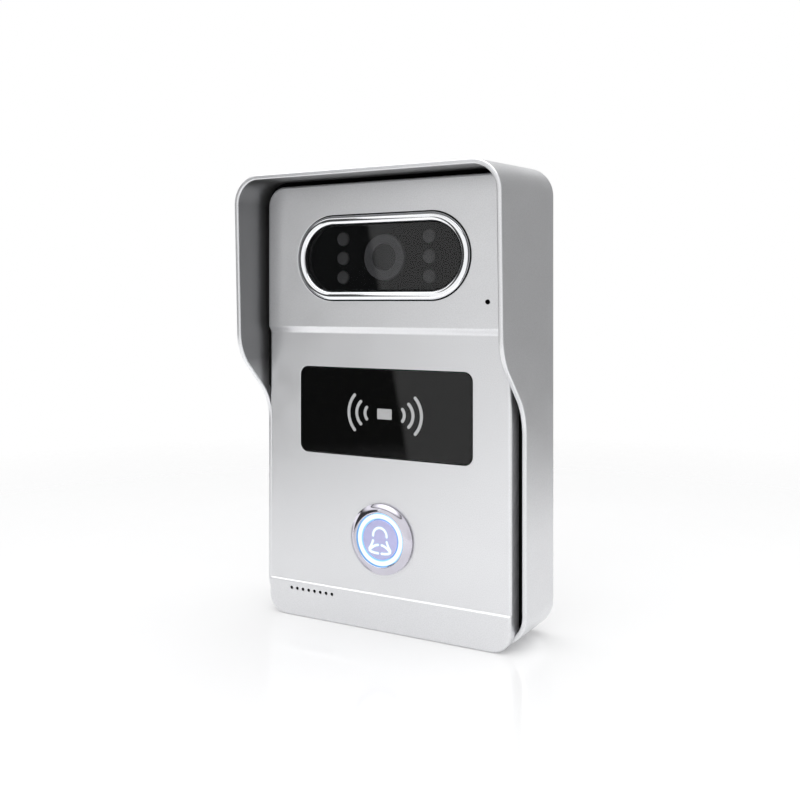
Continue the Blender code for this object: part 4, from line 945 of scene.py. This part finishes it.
def make_grommet():
    _, up, across, _, back, front = size_of("cable_grommet")
    lip = across / 2
    neck = CABLE_HOLE_RADIUS - 0.3
    bore = CABLE_HOLE_RADIUS - 3
    profile = [
        (bore + 0.3, back),
        (neck - 0.2, back),
        (neck, back + 0.2),
        (neck, HOOD_WALL + 0.3),
        (lip, HOOD_WALL + 0.3),
        (lip, front - 0.3),
        (lip - 0.3, front),
        (bore + 0.3, front),
        (bore, front - 0.3),
        (bore, back + 0.3),
    ]
    turned("grommet_ring", profile, (0, up), MATERIALS["rubber"], "station",
           ["cable_grommet"], closed=True)


def make_lock_screw():
    """The screw under the hood that locks the panel, with a hexagon socket."""
    low, high = (corner * 1000 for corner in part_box("lock_screw"))
    middle = (low + high) / 2
    head = (high.x - low.x) / 2
    shank = head - 1.5
    socket = 1.15
    profile = [
        (shank, high.z),
        (shank, HOOD_BOTTOM - 0.02),
        (head, HOOD_BOTTOM - 0.02),
        (head, low.z + 0.35),
        (head - 0.1, low.z + 0.1),
        (head - 0.35, low.z),
    ]

    def level(radius, up, sides=48):
        return [(middle.x + x, y - middle.y, up) for x, y in circle(radius, (0, 0), steps=sides)]

    solid = Solid()
    rings = [level(radius, up) for radius, up in profile]
    solid.face(rings[0])
    solid.loft(rings)
    hexagon = [level(socket, up, 6) for up in (low.z, low.z + 1.1)]
    solid.loft(hexagon)
    solid.face(hexagon[1])
    wide = [(x, depth) for x, depth, _ in rings[-1]]
    narrow = [(x, depth) for x, depth, _ in hexagon[0]]
    cover = Solid()
    cover.plate(wide, [narrow], 0)
    for face in cover.faces:
        solid.face([(cover.points[k][0], cover.points[k][2], low.z) for k in face])
    solid.build("lock_screw_head", [MATERIALS["steel"]], "station", ["lock_screw"])


# ---------------------------------------------------------------- stage


# How bright the studio is round the object: (degrees to the right of the front, brightness).
STUDIO_ROUND = [
    (-180, 0.40),
    (-120, 0.40),
    (-95, 1.30),
    (-32, 1.30),
    (-30, 1.05),
    (30, 1.05),
    (45, 0.75),
    (112, 0.85),
    (128, 0.20),
    (180, 0.26),
]
# The same from the horizon up, as a share of the brightness round it: (degrees, share).
STUDIO_UP = [(0, 1.0), (32.0, 1.0), (32.6, 0.15), (34.4, 0.15), (35, 0.55)]
# A dark card stands low at the left: its left edge, its right edge and its top.
STUDIO_CARD = [(-82, -78), (-31.0, -30.6), (16, 28)]
STUDIO_CARD_BRIGHTNESS = 0.06
STUDIO_CEILING = 2.1
STUDIO_CARD_LEAN = 0.17  # degrees to the left for each degree up


class Studio:
    """The world's shader, as a small tree of numbers worked out from the direction."""

    def __init__(self):
        world = bpy.data.worlds.new("studio")
        bpy.context.scene.world = world
        world.use_nodes = True
        self.tree = world.node_tree
        self.background = self.tree.nodes["Background"]

    def node(self, kind, **settings):
        made = self.tree.nodes.new(kind)
        for name, value in settings.items():
            setattr(made, name, value)
        return made

    def math(self, operation, *values):
        made = self.node("ShaderNodeMath", operation=operation)
        for socket, value in zip(made.inputs, values):
            if isinstance(value, (int, float)):
                socket.default_value = value
            else:
                self.tree.links.new(value, socket)
        return made.outputs["Value"]

    def curve(self, value, low, high, stops):
        """Brightness read off the stops, which lie between low and high."""
        ramp = self.node("ShaderNodeValToRGB")
        elements = ramp.color_ramp.elements
        while len(elements) < len(stops):
            elements.new(0.5)
        for element, (place, brightness) in zip(elements, stops):
            element.position = (place - low) / (high - low)
            element.color = (brightness, brightness, brightness, 1)
        share = self.math("DIVIDE", self.math("SUBTRACT", value, low), high - low)
        self.tree.links.new(share, ramp.inputs["Fac"])
        return ramp.outputs["Color"]

    def rise(self, value, start, end):
        """Goes smoothly from 0 to 1 as the value goes from start to end."""
        made = self.node("ShaderNodeMapRange", interpolation_type="SMOOTHSTEP")
        made.inputs["From Min"].default_value = start
        made.inputs["From Max"].default_value = end
        self.tree.links.new(value, made.inputs["Value"])
        return made.outputs["Result"]

    def blend(self, first, second, share):
        kept = self.math("MULTIPLY", first, self.math("SUBTRACT", 1, share))
        return self.math("ADD", kept, self.math("MULTIPLY", second, share))

    def light(self):
        """Softboxes in front and at the left, paler behind, under a bright ceiling."""
        direction = self.node("ShaderNodeSeparateXYZ")
        place = self.node("ShaderNodeTexCoord").outputs["Generated"]
        self.tree.links.new(place, direction.inputs["Vector"])
        x, y, z = (direction.outputs[axis] for axis in "XYZ")
        degrees = 180 / math.pi
        up = self.math("MULTIPLY", self.math("ARCSINE", z), degrees)
        forwards = self.math("MULTIPLY", y, -1)
        turn = self.math("MULTIPLY", self.math("ARCTAN2", x, forwards), degrees)
        leaning = self.math("ADD", turn, self.math("MULTIPLY", up, STUDIO_CARD_LEAN))
        left, right, top = STUDIO_CARD
        card = self.math("MULTIPLY", self.rise(leaning, *left), self.rise(leaning, *right[::-1]))
        card = self.math("MULTIPLY", card, self.rise(up, *top[::-1]))
        around = self.curve(turn, -180, 180, STUDIO_ROUND)
        around = self.blend(around, STUDIO_CARD_BRIGHTNESS, card)
        share = self.curve(up, 0, 90, STUDIO_UP)
        wall = self.math("MULTIPLY", around, share)
        lit = self.blend(wall, STUDIO_CEILING, self.rise(up, 35, 46))
        lit = self.math("MAXIMUM", lit, self.rise(up, -14, -19))
        seen = self.node("ShaderNodeLightPath").outputs["Is Camera Ray"]
        self.tree.links.new(self.math("MAXIMUM", lit, seen), self.background.inputs["Color"])


def floor_material(centre):
    """A pale floor that fades out into the white studio, away from the object."""
    glow = {"Emission Color": (1, 1, 1, 1), "Emission Strength": 0.18}
    paint = Paint("floor_pale", (0.69, 0.69, 0.693), 0.1, **glow)
    paint.shades(paint.noise(60.0, 2.0), 0.995, 1.0)
    paint.worn(paint.noise(40.0, 2.0), 0.08, 0.12)
    away = paint.node("ShaderNodeVectorMath", operation="DISTANCE")
    away.inputs[1].default_value = centre
    paint.link(paint.place, away.inputs[0])
    paint.link(paint.spread(away.outputs["Value"], 1, 0, 0.2, 0.5), paint.shader.inputs["Alpha"])
    return paint.material


def make_stage():
    Studio().light()
    mesh = bpy.data.meshes.new("floor")
    ground = CAD_BOX[0].z
    reach = 2.0
    corners = [(-reach, -reach), (reach, -reach), (reach, reach), (-reach, reach)]
    mesh.from_pydata([(x, y, ground) for x, y in corners], [], [(0, 1, 2, 3)])
    mesh.materials.append(floor_material((0, 0, ground)))
    floor = bpy.data.objects.new("floor", mesh)
    bpy.context.scene.collection.objects.link(floor)


def make_camera():
    lens = bpy.data.cameras.new("camera")
    lens.lens = VIEW_LENS
    lens.sensor_width = 36
    lens.shift_y = VIEW_SHIFT
    lens.clip_start = 0.01
    lens.clip_end = 100
    camera = bpy.data.objects.new("camera", lens)
    camera.location = VIEW_PLACE
    camera.rotation_euler = (math.pi / 2, 0, VIEW_TURN)
    bpy.context.scene.collection.objects.link(camera)
    bpy.context.scene.camera = camera


finish_cad_nodes()
make_hood()
make_panel()
make_camera_front()
make_reader()
make_button()
make_spring()
make_grommet()
make_lock_screw()
make_stage()
make_camera()
bpy.context.scene.view_settings.view_transform = "Standard"
